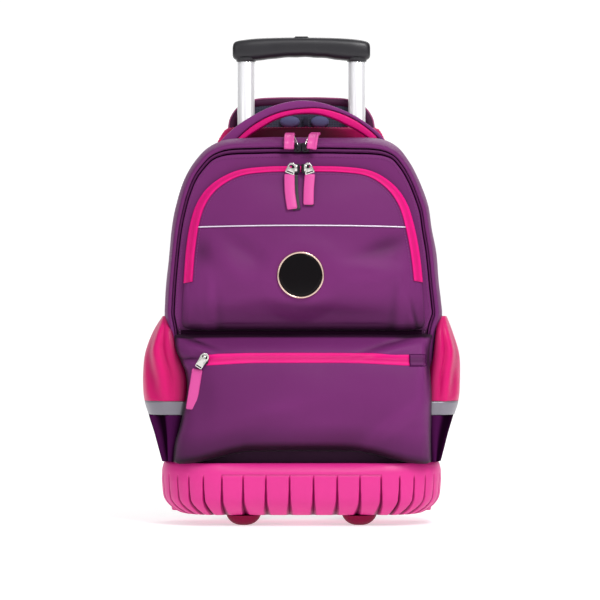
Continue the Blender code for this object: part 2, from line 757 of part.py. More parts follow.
def reflective_piping():
    """Thin pale cord sewn across the upper pocket."""
    places = np.linspace(*PIPING_REACH, 15)
    route = [(x, POCKET_RIM - upper_face_depth(x, PIPING_HEIGHT) - 1.6, PIPING_HEIGHT) for x in places]
    sweep("reflective_piping", route, (0, 0, 1), flat_section(1.8, 1.0), "reflective_piping")


def badge():
    """Round badge: a metal ring and a plain dark disc."""
    x, z = BADGE_CENTRE
    turns = np.linspace(0, 2 * math.pi, BADGE_STEPS, endpoint=False)
    rim = [(x + BADGE_RADIUS * math.cos(a), z + BADGE_RADIUS * math.sin(a)) for a in turns]
    back = POCKET_RIM - max(upper_face_depth(*place) for place in [*rim, BADGE_CENTRE]) - 0.6
    inner = BADGE_RADIUS - BADGE_RING_WIDTH
    ring = [(inner, 0), (inner, -2.0), (inner + 1.2, -2.8), (BADGE_RADIUS, -1.6), (BADGE_RADIUS, 0)]
    turned("badge_ring", ring, (x, back, z), "Y", BADGE_STEPS, "pale_gold")
    disc = [(0, 0), (inner - GAP, 0), (inner - GAP, -1.6), (0, -1.8)]
    turned("badge_disc", disc, (x, back, z), "Y", BADGE_STEPS, "black_enamel", closed=False)


def lower_point(side, share):
    """Point of the lower pocket's outer face: side runs from -1 to 1, share from hem to top."""
    hem = np.interp(abs(side), LOWER_HEMS["side"], LOWER_HEMS["z"])
    z = hem + share * (LOWER_CROWN - hem)
    heights = [row.z for row in LOWER_SECTIONS]
    reach = np.interp(z, heights, [row.right if side > 0 else row.left for row in LOWER_SECTIONS])
    width_share = np.interp(abs(side), LOWER_WIDTHS["side"], LOWER_WIDTHS["share"])
    depth = np.interp(share, LOWER_DEPTHS["share"], LOWER_DEPTHS["depth"]) * width_share
    x = side * reach
    fade = min(1.0, depth / 12)
    depth -= fade * dent_depth(LOWER_DENTS, x, z)
    droop = LOWER_DROOP * math.exp(-(((share - 0.07) / 0.07) ** 2)) * abs(side) ** 4 * (depth > 8)
    return np.array([x, POCKET_RIM - max(depth, 0.0), z - droop])


def lower_pocket():
    """Cloth pocket of the lower front, with a sloping top, open at its rim towards the panel."""
    rows = LOWER_DEPTHS["share"]
    outer = np.array([[lower_point(side, share) for side in LOWER_COLUMNS] for share in rows])
    inner = hollow(outer, (0, POCKET_RIM, LOWER_CENTRE_Z), LOWER_REACH)
    sheet("lower_pocket", outer, inner, "purple_nylon")


def lower_band(name, sides, columns, thickness, material):
    """Strip that lies on the lower pocket along its zip."""
    places = np.linspace(*sides, columns)
    face = np.array([[lower_point(side, share) for side in places] for share in LOWER_ZIP_SHARES])
    inner = face - np.array([0, LOWER_ZIP_LIFT, 0])
    outer = inner - np.array([0, thickness, 0])
    sheet(name, outer, inner, material)


def side_path(row, sign):
    """Plan of a side pocket at one height, from its front seam round to its rear seam."""
    front = row.front_left if sign < 0 else row.front_right
    points = []
    for turn in np.linspace(-90, 90, SIDE_COLUMNS):
        swing = math.radians(turn)
        start, end = (front, SIDE_FRONT_Y) if turn < 0 else SIDE_REAR
        bulge = max(math.cos(swing), 0.0) ** SIDE_BULGE_POWER
        pleat = row.pleat * math.sin(SIDE_PLEATS * 2 * swing) * bulge
        x = start + (row.reach - start) * bulge + pleat
        y = SIDE_CENTRE_Y + (end - SIDE_CENTRE_Y) * abs(math.sin(swing)) ** SIDE_BULGE_POWER
        points.append((x * sign, y, row.z))
    return np.array(points)


def thicker(path, sign):
    """The same plan drawn towards the bag by the cloth's thickness."""
    tangent = np.gradient(path[:, :2], axis=0)
    tangent /= np.linalg.norm(tangent, axis=1, keepdims=True)
    inward = np.stack([-tangent[:, 1], tangent[:, 0]], axis=1) * sign
    moved = path.copy()
    moved[:, :2] += inward * CLOTH
    return moved


def side_pockets():
    """The pockets at the sides: magenta above, a reflective band and dark cloth below."""
    layers = (
        ("side_pocket_upper", SIDE_UPPER_ROWS, "magenta_nylon"),
        ("side_pocket_band", SIDE_BAND_ROWS, "reflective_grey"),
        ("side_pocket_lower", SIDE_LOWER_ROWS, "dark_purple_nylon"),
    )
    for side, sign in (("left", -1), ("right", 1)):
        for name, rows, material in layers:
            outer = np.array([side_path(row, sign) for row in rows])
            inner = np.array([thicker(path, sign) for path in outer])
            sheet(f"{name}_{side}", outer, inner, material)


def base_plan(travel):
    """Place and outward direction on the base's plan, at a distance from the middle of its front."""
    sign = 1 if travel >= 0 else -1
    travel = abs(travel)
    flat = BASE_HALF_WIDTH - BASE_CORNER
    bend = BASE_CORNER * math.pi / 2
    if travel <= flat:
        return np.array([sign * travel, BASE_FRONT]), np.array([0.0, -1.0])
    if travel <= flat + bend:
        turn = (travel - flat) / BASE_CORNER
        outward = np.array([sign * math.sin(turn), -math.cos(turn)])
        return np.array([sign * flat, BASE_FRONT + BASE_CORNER]) + BASE_CORNER * outward, outward
    y = BASE_FRONT + BASE_CORNER + travel - flat - bend
    return np.array([sign * BASE_HALF_WIDTH, y]), np.array([sign * 1.0, 0.0])


def base_grooves():
    """Distance of each groove from the middle of the front, on one side."""
    places = [RIB_PITCH / 2]
    for index in range(1, RIB_COUNT):
        places.append(places[-1] + max(RIB_LEAST_PITCH, RIB_PITCH - RIB_NARROWING * index ** 2))
    return places


def base_ring(row, end):
    """One closed ring of the base, with three points at each groove."""
    right = []
    for groove in base_grooves():
        for shift, sunk in ((-1, 0.0), (0, 1.0), (1, 0.0)):
            right.append((groove + shift * row.groove_half_width, sunk * row.groove_depth))
    right.append((end, 0.0))
    both = [(-travel, sunk) for travel, sunk in reversed(right)] + right
    ring = []
    for travel, sunk in both:
        place, outward = base_plan(travel)
        side_share = np.interp(abs(travel), BASE_LIP_TURN, (1.0, BASE_LIP_SIDE_SHARE))
        share = side_share if row.z > BASE_LIP_START else 1.0
        x, y = place - outward * (row.inset * share + sunk)
        ring.append((x, y, row.z))
    return ring


def base_shell():
    """Ribbed moulded tub under the bag."""
    end = BASE_HALF_WIDTH - BASE_CORNER + BASE_CORNER * math.pi / 2 + BASE_REAR - BASE_FRONT - BASE_CORNER
    outer = [base_ring(row, end) for row in BASE_ROWS]
    inner = [base_ring(row, end - 3.6) for row in BASE_INNER_ROWS]
    poles = ((0, 0, BASE_ROWS[0].z), (0, 0, BASE_INNER_ROWS[-1].z))
    stack("base_shell", outer + inner, "pink_rubber", poles=poles)


def feet():
    """Two domed feet under the front of the base."""
    for side, sign in (("left", -1), ("right", 1)):
        place = (sign * FOOT_PLACE[0], FOOT_PLACE[1], 0.0)
        turned(f"foot_{side}", FOOT_PROFILE, place, "Z", 16, "crimson_tyre", closed=False)


def trolley_chassis():
    """Black plastic deck with a pair of cheeks round each wheel."""
    deck = [(x, y, DECK_Z[0]) for x, y in DECK_OUTLINE]
    chassis = extruded("trolley_chassis", deck, (0, 0, DECK_Z[1] - DECK_Z[0]), "black_plastic")
    width = CHEEK_OUTSIDE - CHEEK_INSIDE
    for side, sign in (("left", -1), ("right", 1)):
        for edge, start in (("inner", -CHEEK_OUTSIDE), ("outer", CHEEK_INSIDE)):
            near = [(sign * TUBE_X + start, y, z) for y, z in CHEEK_OUTLINE]
            cheek = extruded(f"cheek_{side}_{edge}", near, (width, 0, 0), "black_plastic")
            combine(chassis, cheek, "UNION")
        radius, reach = AXLE_RADIUS + GAP, AXLE_BORE_REACH
        bore = [(0, -reach), (radius, -reach), (radius, reach), (0, reach)]
        place = (sign * TUBE_X, WHEEL_Y, WHEEL_RADIUS)
        hole = turned(f"axle_bore_{side}", bore, place, "X", 12, "black_plastic", closed=False)
        combine(chassis, hole, "DIFFERENCE")


def wheels():
    """Each wheel: a steel axle, a plastic hub and a rounded tyre."""
    head = CHEEK_OUTSIDE + GAP
    head_radius, head_depth = AXLE_HEAD
    axle = [(0, -head - head_depth), (head_radius, -head - head_depth)]
    axle += [(head_radius, -head), (AXLE_RADIUS, -head)]
    hub = [(AXLE_RADIUS + WHEEL_PLAY, -HUB_BOSS[1]), (HUB_BOSS[0], -HUB_BOSS[1])]
    hub += [(HUB_WEB[0], -HUB_WEB[1]), (HUB_RADIUS, -HUB_RIM)]
    half = TYRE_HALF_WIDTH
    rolling = WHEEL_RADIUS / math.cos(math.pi / WHEEL_STEPS)
    tyre = [(HUB_RADIUS + GAP, -half + 1), (TYRE_SIDE, -half)]
    tyre += [(TYRE_SHOULDER[0], -half + TYRE_SHOULDER[1]), (rolling, -half + TYRE_TREAD_MARGIN)]
    for profile in (axle, hub, tyre):
        profile += [(radius, -height) for radius, height in reversed(profile)]
    for side, sign in (("left", -1), ("right", 1)):
        place = (sign * TUBE_X, WHEEL_Y, WHEEL_RADIUS)
        turned(f"axle_{side}", axle, place, "X", 10, "bright_steel", closed=False)
        turned(f"wheel_hub_{side}", hub, place, "X", WHEEL_STEPS, "black_plastic")
        turned(f"wheel_tyre_{side}", tyre, place, "X", WHEEL_STEPS, "crimson_tyre")


def trolley_tubes():
    """Three nested tubes on each side."""
    for side, sign in (("left", -1), ("right", 1)):
        for stage, tube in (("outer", OUTER_TUBE), ("middle", MIDDLE_TUBE), ("inner", INNER_TUBE)):
            radius, wall, low, high = tube
            profile = [(radius, 0), (radius, high - low), (radius - wall, high - low), (radius - wall, 0)]
            place = (sign * TUBE_X, TUBE_Y, low)
            turned(f"{stage}_tube_{side}", profile, place, "Z", 12, "polished_aluminium")


def squarer(value):
    """A sine or cosine changed so that its circle becomes a rounded square."""
    return math.copysign(abs(value) ** GRIP_POWER, value)


def grip():
    """Handle bar across the inner tubes, with a socket for each."""
    rings = []
    for station in GRIP_STATIONS:
        centre = (station.bottom + station.top) / 2
        tall = (station.top - station.bottom) / 2
        ring = []
        for step in range(GRIP_STEPS):
            turn = 2 * math.pi * step / GRIP_STEPS
            y = TUBE_Y + station.half_depth * squarer(math.cos(turn))
            ring.append((station.x, y, centre + tall * squarer(math.sin(turn))))
        rings.append(ring)
    poles = tuple((end.x, TUBE_Y, (end.bottom + end.top) / 2) for end in (GRIP_STATIONS[0], GRIP_STATIONS[-1]))
    bar = stack("grip", rings, "black_plastic", poles=poles, origin=(0, TUBE_Y, GRIP_CENTRE))
    depth = INNER_TUBE[3] + GAP - GRIP_SOCKET_FLOOR
    profile = [(0, 0), (GRIP_SOCKET, 0), (GRIP_SOCKET, depth), (0, depth)]
    for side, sign in (("left", -1), ("right", 1)):
        place = (sign * TUBE_X, TUBE_Y, GRIP_SOCKET_FLOOR)
        socket = turned(f"grip_socket_{side}", profile, place, "Z", 16, "black_plastic", closed=False)
        combine(bar, socket, "DIFFERENCE")


def carry_handle():
    """Arched carry handle: a padded band with a magenta band under it."""
    below = HANDLE_RADIUS - HANDLE_PAD[0] - 2 * GAP
    layers = (
        ("carry_handle", HANDLE_PAD, HANDLE_PAD_ANGLE, HANDLE_RADIUS, "purple_nylon"),
        ("carry_handle_trim", HANDLE_TRIM, HANDLE_TRIM_ANGLE, below, "magenta_zip_tape"),
    )
    middle = HANDLE_APEX - HANDLE_RADIUS
    for name, (thickness, half), reach, outside, material in layers:
        radius = outside - thickness / 2
        turns = [math.radians(turn) for turn in np.linspace(-reach, reach, HANDLE_STATIONS)]
        route = [(radius * math.sin(turn), HANDLE_Y, middle + radius * math.cos(turn)) for turn in turns]
        sweep(name, route, (0, 1, 0), rounded_section(2 * half, thickness), material)


def shoulder_straps():
    """Curved padded straps with their buckles and webbing."""
    for side, sign in (("left", -1), ("right", 1)):
        stations = np.array([(sign * s.x, s.y, s.z, s.width, s.thickness) for s in STRAP_STATIONS])
        curve = resample(smooth_curve(stations), 12)
        sweep(
            f"shoulder_strap_{side}", curve[:, :3], (1, 0, 0),
            lambda index, curve=curve: rounded_section(curve[index, 3], curve[index, 4]), "navy_mesh",
        )
        centre = (sign * BUCKLE_CENTRE[0], *BUCKLE_CENTRE[1:])
        buckle = rounded_block(f"strap_buckle_{side}", centre, BUCKLE_SIZE, "black_plastic")
        for slot, lift in (("upper", BUCKLE_SLOT_DROP), ("lower", -BUCKLE_SLOT_DROP)):
            place = (centre[0], centre[1], centre[2] + lift)
            cutter = rounded_block(f"buckle_slot_{slot}_{side}", place, BUCKLE_SLOT, "black_plastic", GAP)
            combine(buckle, cutter, "DIFFERENCE")
        route = resample(smooth_curve([(sign * x, y, z) for x, y, z in WEBBING_ROUTE]), 8)
        sweep(f"strap_webbing_{side}", route, (1, 0, 0), flat_section(*WEBBING_SECTION), "dark_purple_nylon")


def pull_tab(name, route):
    """Flat moulded pull along a short route."""
    path = resample(smooth_curve(route), 5)
    sweep(name, path, (1, 0, 0), flat_section(PULL_WIDTH, PULL_THICKNESS), "pink_pull_tab")


def zip_pulls():
    """Sliders and pull tabs of the three zips."""
    for side in ("left", "right"):
        rounded_block(f"main_slider_{side}", MAIN_SLIDERS[side], SLIDER_SIZE, "bright_steel")
        pull_tab(f"main_pull_{side}", MAIN_PULLS[side])
        x, z = UPPER_SLIDERS[side]
        y = POCKET_RIM - UPPER_ZIP_OUTER[-1][1] - SLIDER_SIZE[1] / 2 - GAP
        rounded_block(f"upper_slider_{side}", (x, y, z), SLIDER_SIZE, "bright_steel")
        route = []
        for place_x, place_z in UPPER_PULLS[side]:
            face = POCKET_RIM - upper_face_depth(place_x, place_z)
            route.append((place_x, min(face - UPPER_PULL_LIFT, y - 1.0), place_z))
        pull_tab(f"upper_pull_{side}", route)
    x, z = LOWER_SLIDER
    y = lower_point(*LOWER_SLIDER_PLACE)[1] - LOWER_SLIDER_LIFT
    rounded_block("lower_slider", (x, y, z), SLIDER_SIZE, "bright_steel")
    hem = LOWER_HEMS["z"][-2]
    route = []
    for place_x, place_z in LOWER_PULL:
        side, share = place_x / LOWER_PULL_HALF_WIDTH, (place_z - hem) / (LOWER_CROWN - hem)
        route.append((place_x, lower_point(side, share)[1] - LOWER_PULL_LIFT, place_z))
    pull_tab("lower_pull", route)


def main():
    clear_scene()
    main_shell()
    front_panel()
    main_zipper()
    rear_gusset()
    back_panel()
    yoke_pads()
    upper_pocket()
    upper_pocket_zipper()
    reflective_piping()
    badge()
    lower_pocket()
    lower_band("lower_pocket_zipper", LOWER_ZIP_SIDES, 12, LOWER_ZIP_THICKNESS, "magenta_zip_tape")
    lower_band("zipper_end_tab", LOWER_TAB_SIDES, 3, LOWER_TAB_THICKNESS, "dark_purple_nylon")
    side_pockets()
    base_shell()
    feet()
    trolley_chassis()
    wheels()
    trolley_tubes()
    grip()
    carry_handle()
    shoulder_straps()
    zip_pulls()


main()
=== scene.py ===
"""Looks of a wheeled school backpack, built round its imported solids.

The tables give lengths in millimetres in the frame of the solids: +Z up, the front faces -Y.
MM turns them into metres where a mesh is made.
"""

import math
from collections import namedtuple

import bmesh
import bpy
import numpy as np
from bpy.props import FloatProperty, FloatVectorProperty, PointerProperty
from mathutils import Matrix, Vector, noise


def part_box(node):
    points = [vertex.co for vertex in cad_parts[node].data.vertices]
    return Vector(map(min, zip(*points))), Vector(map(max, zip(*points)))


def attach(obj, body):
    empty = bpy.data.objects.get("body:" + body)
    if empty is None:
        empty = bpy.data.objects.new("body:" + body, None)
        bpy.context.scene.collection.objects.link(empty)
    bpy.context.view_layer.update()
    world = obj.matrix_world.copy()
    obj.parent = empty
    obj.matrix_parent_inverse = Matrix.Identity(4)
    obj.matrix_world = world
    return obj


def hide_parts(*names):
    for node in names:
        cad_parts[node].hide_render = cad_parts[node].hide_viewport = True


bl_info = {
    "name": "Wheeled Backpack",
    "version": (1, 0, 0),
    "blender": (4, 5, 0),
    "location": "View3D > Sidebar > Backpack",
    "description": "Builds the cloth, zips, moulded base and trolley of a wheeled school backpack",
    "category": "Add Mesh",
}

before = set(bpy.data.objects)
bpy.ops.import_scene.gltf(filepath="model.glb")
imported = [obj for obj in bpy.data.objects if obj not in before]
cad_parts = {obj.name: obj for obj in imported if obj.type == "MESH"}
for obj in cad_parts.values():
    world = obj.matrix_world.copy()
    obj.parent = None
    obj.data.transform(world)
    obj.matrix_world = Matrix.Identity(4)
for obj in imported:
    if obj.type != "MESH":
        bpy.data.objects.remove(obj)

MM = 0.001
SIDES = (("left", -1), ("right", 1))

Section = namedtuple("Section", "z left right")
Fold = namedtuple("Fold", "x z length width angle depth")
PocketRow = namedtuple("PocketRow", "z reach_left reach_right front_left front_right front_y")
Station = namedtuple("Station", "x y z width thickness")
Pad = namedtuple("Pad", "low high inner")
GripStation = namedtuple("GripStation", "x half_depth bottom top")


def table(kind, rows):
    """The rows of a table, each as a tuple with named fields."""
    return [kind(*row) for row in rows]


# Main compartment: outline, and the wall's course from the rear seam to the zip
SHELL_FLOOR, SHELL_CROWN = 18.0, 450.0
SHELL_SECTIONS = table(Section, [
    (18.0, 84, 84), (19.5, 110, 110), (27.0, 127, 127), (42.0, 137, 137), (75.0, 143, 143),
    (105.0, 151, 151), (140.0, 154, 154), (200.0, 155, 156), (222.0, 155.5, 157.5), (243.0, 159, 163),
    (258.0, 158.5, 162), (276.0, 157.5, 160), (320.0, 153.5, 155.5), (344.0, 150.5, 151.5),
    (367.0, 146, 148), (389.0, 140, 141), (408.0, 132.5, 133), (423.0, 123, 124.5), (438.0, 109, 112),
    (447.0, 90, 94), (449.6, 50, 50),
])
SHELL_WALL = [
    (35.2, 14.0), (34.8, 7.0), (32.0, 2.8), (24.0, 0.6), (-5.0, 0.0), (-40.0, 3.2),
    (-51.0, 6.4), (-56.6, 9.2), (-59.4, 11.2), (-59.4, 11.9), (-56.8, 12.2),
]
SHELL_REAR = 35.2
FRONT_SEAM = (-47.0, 4.5)
ZIP_FOOT = 204.0
MAIN_ZIP_ROWS = [
    (12.3, -56.6), (14.9, -56.8), (15.1, -59.0), (15.6, -59.7), (16.4, -59.9), (16.8, -60.4),
    (17.2, -59.9), (18.0, -59.7), (18.6, -59.0), (18.8, -56.8), (20.6, -56.6),
]
MAIN_ZIP_GAPS = (0, 9)
PANEL_EDGE = [(20.5, -59.2), (20.5, -61.3), (21.2, -62.5), (23.0, -63.0), (27.0, -63.2)]
PANEL_SEAM_INSET = 8.4
ZIP_SIDE_SHARE = 0.62
# Heights and half-width of the dark strip across the panel between the pockets: painted shadow in the gap
POCKET_GAP_SHADOW_HEIGHTS, POCKET_GAP_SHADOW_REACH = (219.8, 222.0, 225.8), 139.0

# Upper pocket
POCKET_RIM = -63.4
UPPER_FLOOR, UPPER_CROWN = 225.4, 414.0
UPPER_CENTRE = np.array((0.0, 305.0))
UPPER_SECTIONS = table(Section, [
    (225.4, 84, 86), (225.7, 124, 129), (229.6, 136.5, 141), (250.0, 137.5, 141.5), (280.0, 135.5, 139.5),
    (319.0, 132.5, 135), (350.0, 127.5, 128.5), (370.0, 121, 122), (387.0, 110, 111.5), (400.0, 94, 97),
    (409.0, 74, 79), (413.2, 45, 50),
])
UPPER_EDGE = [(0.0, 0.0), (0.2, 3.0), (1.4, 6.0), (4.2, 9.0), (8.0, 11.0)]
UPPER_SWELL = 16.0
UPPER_FOLDS = table(Fold, [
    (0, 284, 122, 30, 0, -8.0), (0, 240, 130, 12, 0, 3.0), (-64, 318, 40, 11, -36, 3.2),
    (-84, 300, 34, 11, -46, -2.4), (-114, 316, 10, 14, 10, 4.0), (96, 323, 26, 9, 20, 4.0),
    (90, 296, 30, 9, -6, -3.0), (0, 398, 60, 14, 0, 2.0), (116, 258, 6, 38, -3, -2.2),
    (-106, 246, 7, 34, 3, -2.2), (-96, 250, 5, 30, 6, 1.8), (106, 252, 5, 32, -6, 1.8),
    (-40, 262, 60, 7, 6, -1.2), (20, 250, 70, 6, -5, 1.6), (130, 242, 17, 2.4, -77, 3.6),
    (126, 242, 17, 2.4, -77, -2.4), (90, 284, 26, 8, 8, -2.6), (-106, 262, 9, 26, 0, -2.4),
])
UPPER_ZIP_LEAST, UPPER_ZIP_SPREAD = 5.9, 4.2
UPPER_ZIP_FOOT = 278.0
PIPING_HEIGHT = 346.0
PIPING_REACH = (-118.5, 119.5)
PIPING_SAG = 1.6

# Lower pocket
LOWER_CROWN = 220.0
LOWER_SECTIONS = table(Section, [
    (74.0, 147, 149), (94.0, 145, 148), (111.0, 140, 148), (128.0, 136, 148.5), (158.0, 130.5, 148.5),
    (178.0, 132.5, 147), (190.0, 137.5, 146), (205.0, 144, 146.5), (220.0, 145.5, 150),
])
LOWER_SHARES = [0.0, 0.025, 0.10, 0.22, 0.42, 0.62, 0.78, 0.86, 0.95, 1.0]
LOWER_DEPTHS = [0.0, 19.0, 31.0, 37.0, 40.6, 37.5, 31.5, 26.5, 12.0, 0.0]
LOWER_HEM_SIDES = [0.0, 0.35, 0.50, 0.64, 0.75, 0.88, 1.0]
LOWER_HEM_HEIGHTS = [87.5, 87.0, 84.8, 80.5, 77.0, 74.8, 74.6]
LOWER_DROOP = 9.0
LOWER_FOLDS = table(Fold, [
    (62, 98, 66, 18, 14, 4.4), (-112, 150, 12, 34, 4, 3.4), (142.5, 186, 2.2, 25, 1, 4.4),
    (138.5, 186, 2.4, 24, 1, -2.6), (136, 158, 6, 60, 2, -1.2), (20, 122, 70, 12, -10, -1.8),
    (-60, 108, 66, 14, 18, 2.4), (104, 118, 44, 9, 34, -2.6), (-122, 212, 20, 2.6, -19, 5.0),
    (-124, 206, 22, 3.6, -17, -3.6), (108, 211, 36, 3.4, 16, 4.0), (114, 205, 32, 4.4, 15, -3.2),
    (-128, 193, 14, 2.4, -3, 4.0), (-126, 186, 16, 4, 2, -1.6), (40, 160, 60, 26, 0, -1.2),
    (-30, 136, 50, 9, 12, -1.0),
])
# Painted shade across the lower pocket by its x place: darker towards the left, as if lit from the right,
# with a touch of painted light on the right.
LOWER_SHADE_PLACES, LOWER_SHADES = (-140.0, -70.0, 0.0, 60.0), (0.24, 0.10, 0.0, -0.03)
LOWER_ZIP_SHARES = (0.757, 0.846)
LOWER_ZIP_SIDES = (-0.80, 0.845)
LOWER_TAB_SIDES = (0.848, 0.965)

# Side pockets
SIDE_CENTRE_Y = -8.0
SIDE_REAR = (158.6, 32.0)
SIDE_BULGE_POWER = 0.75
SIDE_TUCK = (9.0, 3.5)
GATHER_PITCH, GATHER_PLACES, GATHER_LEVELS = 0.46, (0.48, 0.64, 0.60), (150.0, 206.0, 236.0)
GATHER_HEIGHTS = {74: 0.3, 120: 1.6, 128: 0.9, 144: 0.9, 151: 2.8, 170: 4.6, 205: 4.0, 228: 2.2, 241: 0.6}
# Fold down each lower side panel: place, width and depth. It carries near-black painted shade.
SIDE_CREASES = {-1: (0.53, 0.17, 5.0), 1: (0.64, 0.30, 3.0)}
SIDE_ROWS = table(PocketRow, [
    (241.0, 161.0, 168.5, 157.0, 162.5, -41.0), (232.0, 167.0, 172.0, 153.0, 158.5, -52.0),
    (222.0, 172.5, 175.5, 150.0, 156.5, -60.0), (200.0, 180.5, 182.0, 144.5, 154.0, -65.5),
    (172.0, 183.0, 183.0, 134.5, 150.0, -65.9), (143.6, 182.0, 182.0, 135.8, 148.5, -65.9),
    (127.8, 177.3, 177.3, 139.0, 148.5, -65.9), (108.0, 171.0, 171.0, 143.5, 149.0, -65.9),
    (88.0, 165.5, 165.5, 147.5, 150.4, -65.9), (74.0, 161.5, 161.5, 149.5, 151.5, -65.9),
])
SIDE_BANDS = {
    "side_pocket_upper": (241.0, 143.8, "magenta_nylon", 60),
    "side_pocket_band": (143.4, 128.0, "reflective_grey", 8),
    "side_pocket_lower": (127.6, 74.0, "dark_purple_nylon", 30),
}

# Moulded base
BASE_HALF_WIDTH, BASE_CORNER, BASE_REAR_CORNER = 163.7, 70.0, 16.0
BASE_FRONT, BASE_REAR = -88.0, 40.0
BASE_PROFILE = [
    (12.0, 34.0), (12.0, 27.0), (13.6, 20.5), (18.5, 12.5), (25.0, 6.0), (32.0, 2.2), (45.0, 0.6),
    (58.0, 0.0), (62.0, 0.2), (65.0, 1.4), (69.5, 4.8), (72.4, 8.6), (73.0, 11.0), (72.0, 13.2), (66.0, 13.8),
]
BASE_LIP_START, BASE_LID = 61.0, 60.0
BASE_LIP_TURN = (60.0, 130.0)
BASE_LIP_SIDE_SHARE = 0.35
BASE_REAR_SHARE = 0.16
BASE_BEND = (10.0, 150.0)
GROOVE_HEIGHTS = [12.0, 18.5, 28.0, 42.0, 56.0, 60.0]
GROOVE_DEPTHS = [7.5, 6.6, 4.2, 2.6, 2.0, 0.0]
GROOVE_HALF_WIDTHS = [4.6, 3.6, 2.0, 1.3, 1.1, 1.0]
GROOVE_CURVE = 8.0
GROOVE_STEPS = [-9, -6, -4.4, -3.4, -2.6, -1.9, -1.3, -0.8, -0.4, 0, 0.4, 0.8, 1.3, 1.9, 2.6, 3.4, 4.4, 6]
RIB_COUNT, RIB_PITCH, RIB_LEAST_PITCH, RIB_NARROWING = 12, 27.5, 17.0, 0.35
RIB_PILLOW = 0.7
PANEL_LINE = (59.6, 92.0)

# Feet, wheels and trolley
FOOT_PLACE = (67.0, -46.0)
FOOT_PROFILE = [(6, 0), (9.5, 0.9), (12.8, 2.5), (15.5, 4.6), (17.6, 7), (19.2, 9.6), (20, 11.6)]
WHEEL_Y, WHEEL_RADIUS = 72.0, 30.0
TYRE_PROFILE = [
    (20.3, -12.0), (25.0, -12.9), (27.4, -12.2), (28.9, -9.6), (29.6, -7.2),
    (29.6, -6.6), (29.1, -6.2), (29.1, -5.6), (29.7, -5.2), (30.0, -3.0),
]
HUB_PROFILE = [
    (3.6, -13.2), (7.6, -13.2), (8.2, -12.6), (8.6, -6.5),
    (15.8, -5.2), (17.0, -10.2), (17.6, -10.9), (19.9, -10.9),
]
HUB_SPOKES, SPOKE_ENDS, SPOKE_OFFSET = 6, (8.0, 16.6), 7.6
SPOKE_SECTION = [(-2.6, -0.9), (2.6, -0.9), (2.6, 0.9), (-2.6, 0.9)]
AXLE_PROFILE = [(0.9, -20.3), (3.2, -20.3), (4.6, -19.6), (5.0, -18.9), (5.0, -18.5), (2.9, -18.45)]
TUBE_X, TUBE_Y = 66.0, 53.5
OUTER_TUBE = (11.8, 10.6, 77.6, 457.0)
MIDDLE_TUBE = (10.3, 9.1, 195.0, 544.0)
INNER_TUBE = (8.7, 7.6, 215.0, 558.0)
TUBE_GROOVE = (20.0, 9.0, 0.6)
GRIP_COLLAR = [(9.0, 544.6), (11.2, 544.6), (11.7, 545.2), (11.9, 549.0), (9.0, 549.0)]
GRIP_BUTTON_HEIGHT, GRIP_BUTTON = 573.2, (17, 11, 2.4)
GRIP_RIDGES = (0.25, 3.2, 44.0)
GRIP_STATIONS = table(GripStation, [
    (-82, 4.0, 552, 562), (-81, 7.5, 549, 566), (-78, 10.0, 546.8, 568.6), (-66, 12.0, 545, 571),
    (-50, 12.0, 546, 572.5), (-25, 11.5, 549, 573.3), (0, 11.5, 550, 573.5), (25, 11.5, 549, 573.3),
    (50, 12.0, 546, 572.5), (66, 12.0, 545, 571), (78, 10.0, 546.8, 568.6), (81, 7.5, 549, 566),
    (82, 4.0, 552, 562),
])

# Rear: tube housing and padded back
GUSSET_FLOOR, GUSSET_CROWN = 74.5, 465.3
GUSSET_SECTIONS = table(Section, [
    (74.5, 60, 60), (75.5, 100, 100), (86.0, 116, 116), (120.0, 124, 124), (200.0, 132, 132),
    (330.0, 129, 129), (400.0, 117, 117), (440.0, 103, 103), (456.0, 95, 96), (463.5, 89, 91),
    (465.0, 80, 82), (465.2, 40, 40),
])
BACK_FLOOR, BACK_CROWN = 84.0, 502.6
BACK_SECTIONS = table(Section, [
    (84.0, 60, 60), (85.0, 96, 96), (96.0, 114, 114), (130.0, 124, 124), (200.0, 130, 130),
    (330.0, 127, 127), (400.0, 115, 115), (440.0, 99, 99), (462.0, 88.5, 88.5), (478.0, 85, 85),
    (492.0, 75, 75), (500.0, 58, 58), (502.4, 30, 30),
])
BACK_BOARD = [(66.5, 2.6), (67.4, 0.8), (69.0, 0.0), (71.0, 0.2), (72.4, 1.2), (73.0, 3.4)]
BACK_PADS = table(Pad, [(100, 192, 9.0), (202, 300, 9.0), (310, 404, 9.0), (414, 490, 0.0)])
BACK_PAD_MARGIN, BACK_PAD_CAP = 13.0, 3.6
BACK_PAD_EDGE = [(0.15, 0.6), (1.6, 0.0), (3.0, 0.8), (4.4, 3.0), (5.0, 6.5), (5.3, 11.0)]
HOUSING_WALL = [
    (35.9, 3.2), (35.9, 0.6), (36.8, 0.0), (44.0, 0.0), (51.0, 0.3),
    (58.0, 0.0), (64.8, 0.1), (65.9, 0.8), (65.9, 3.2),
]
HOUSING_CENTRE = np.array((0.0, 35.9, 270.0))
HOUSING_SEAMS = (39.5, 62.5)
TUBE_HOLE = 12.6
YOKE_PADS = (("left", -13.8, 12.0), ("right", 22.0, 11.0))
YOKE_RINGS = [(0.8, 0.4), (0.98, 1.2), (1.0, 2.4), (0.93, 3.8), (0.75, 5.0), (0.45, 5.7), (0.1, 6.0)]
YOKE_REAR, YOKE_HEIGHT, YOKE_HALF_HEIGHT = 66.4, 473.6, 6.9
HANG_LOOP = [(5.5, 65.1, 478), (5.5, 61.0, 479.6), (5.5, 60.0, 474), (5.5, 61.0, 468.4), (5.5, 65.1, 469)]

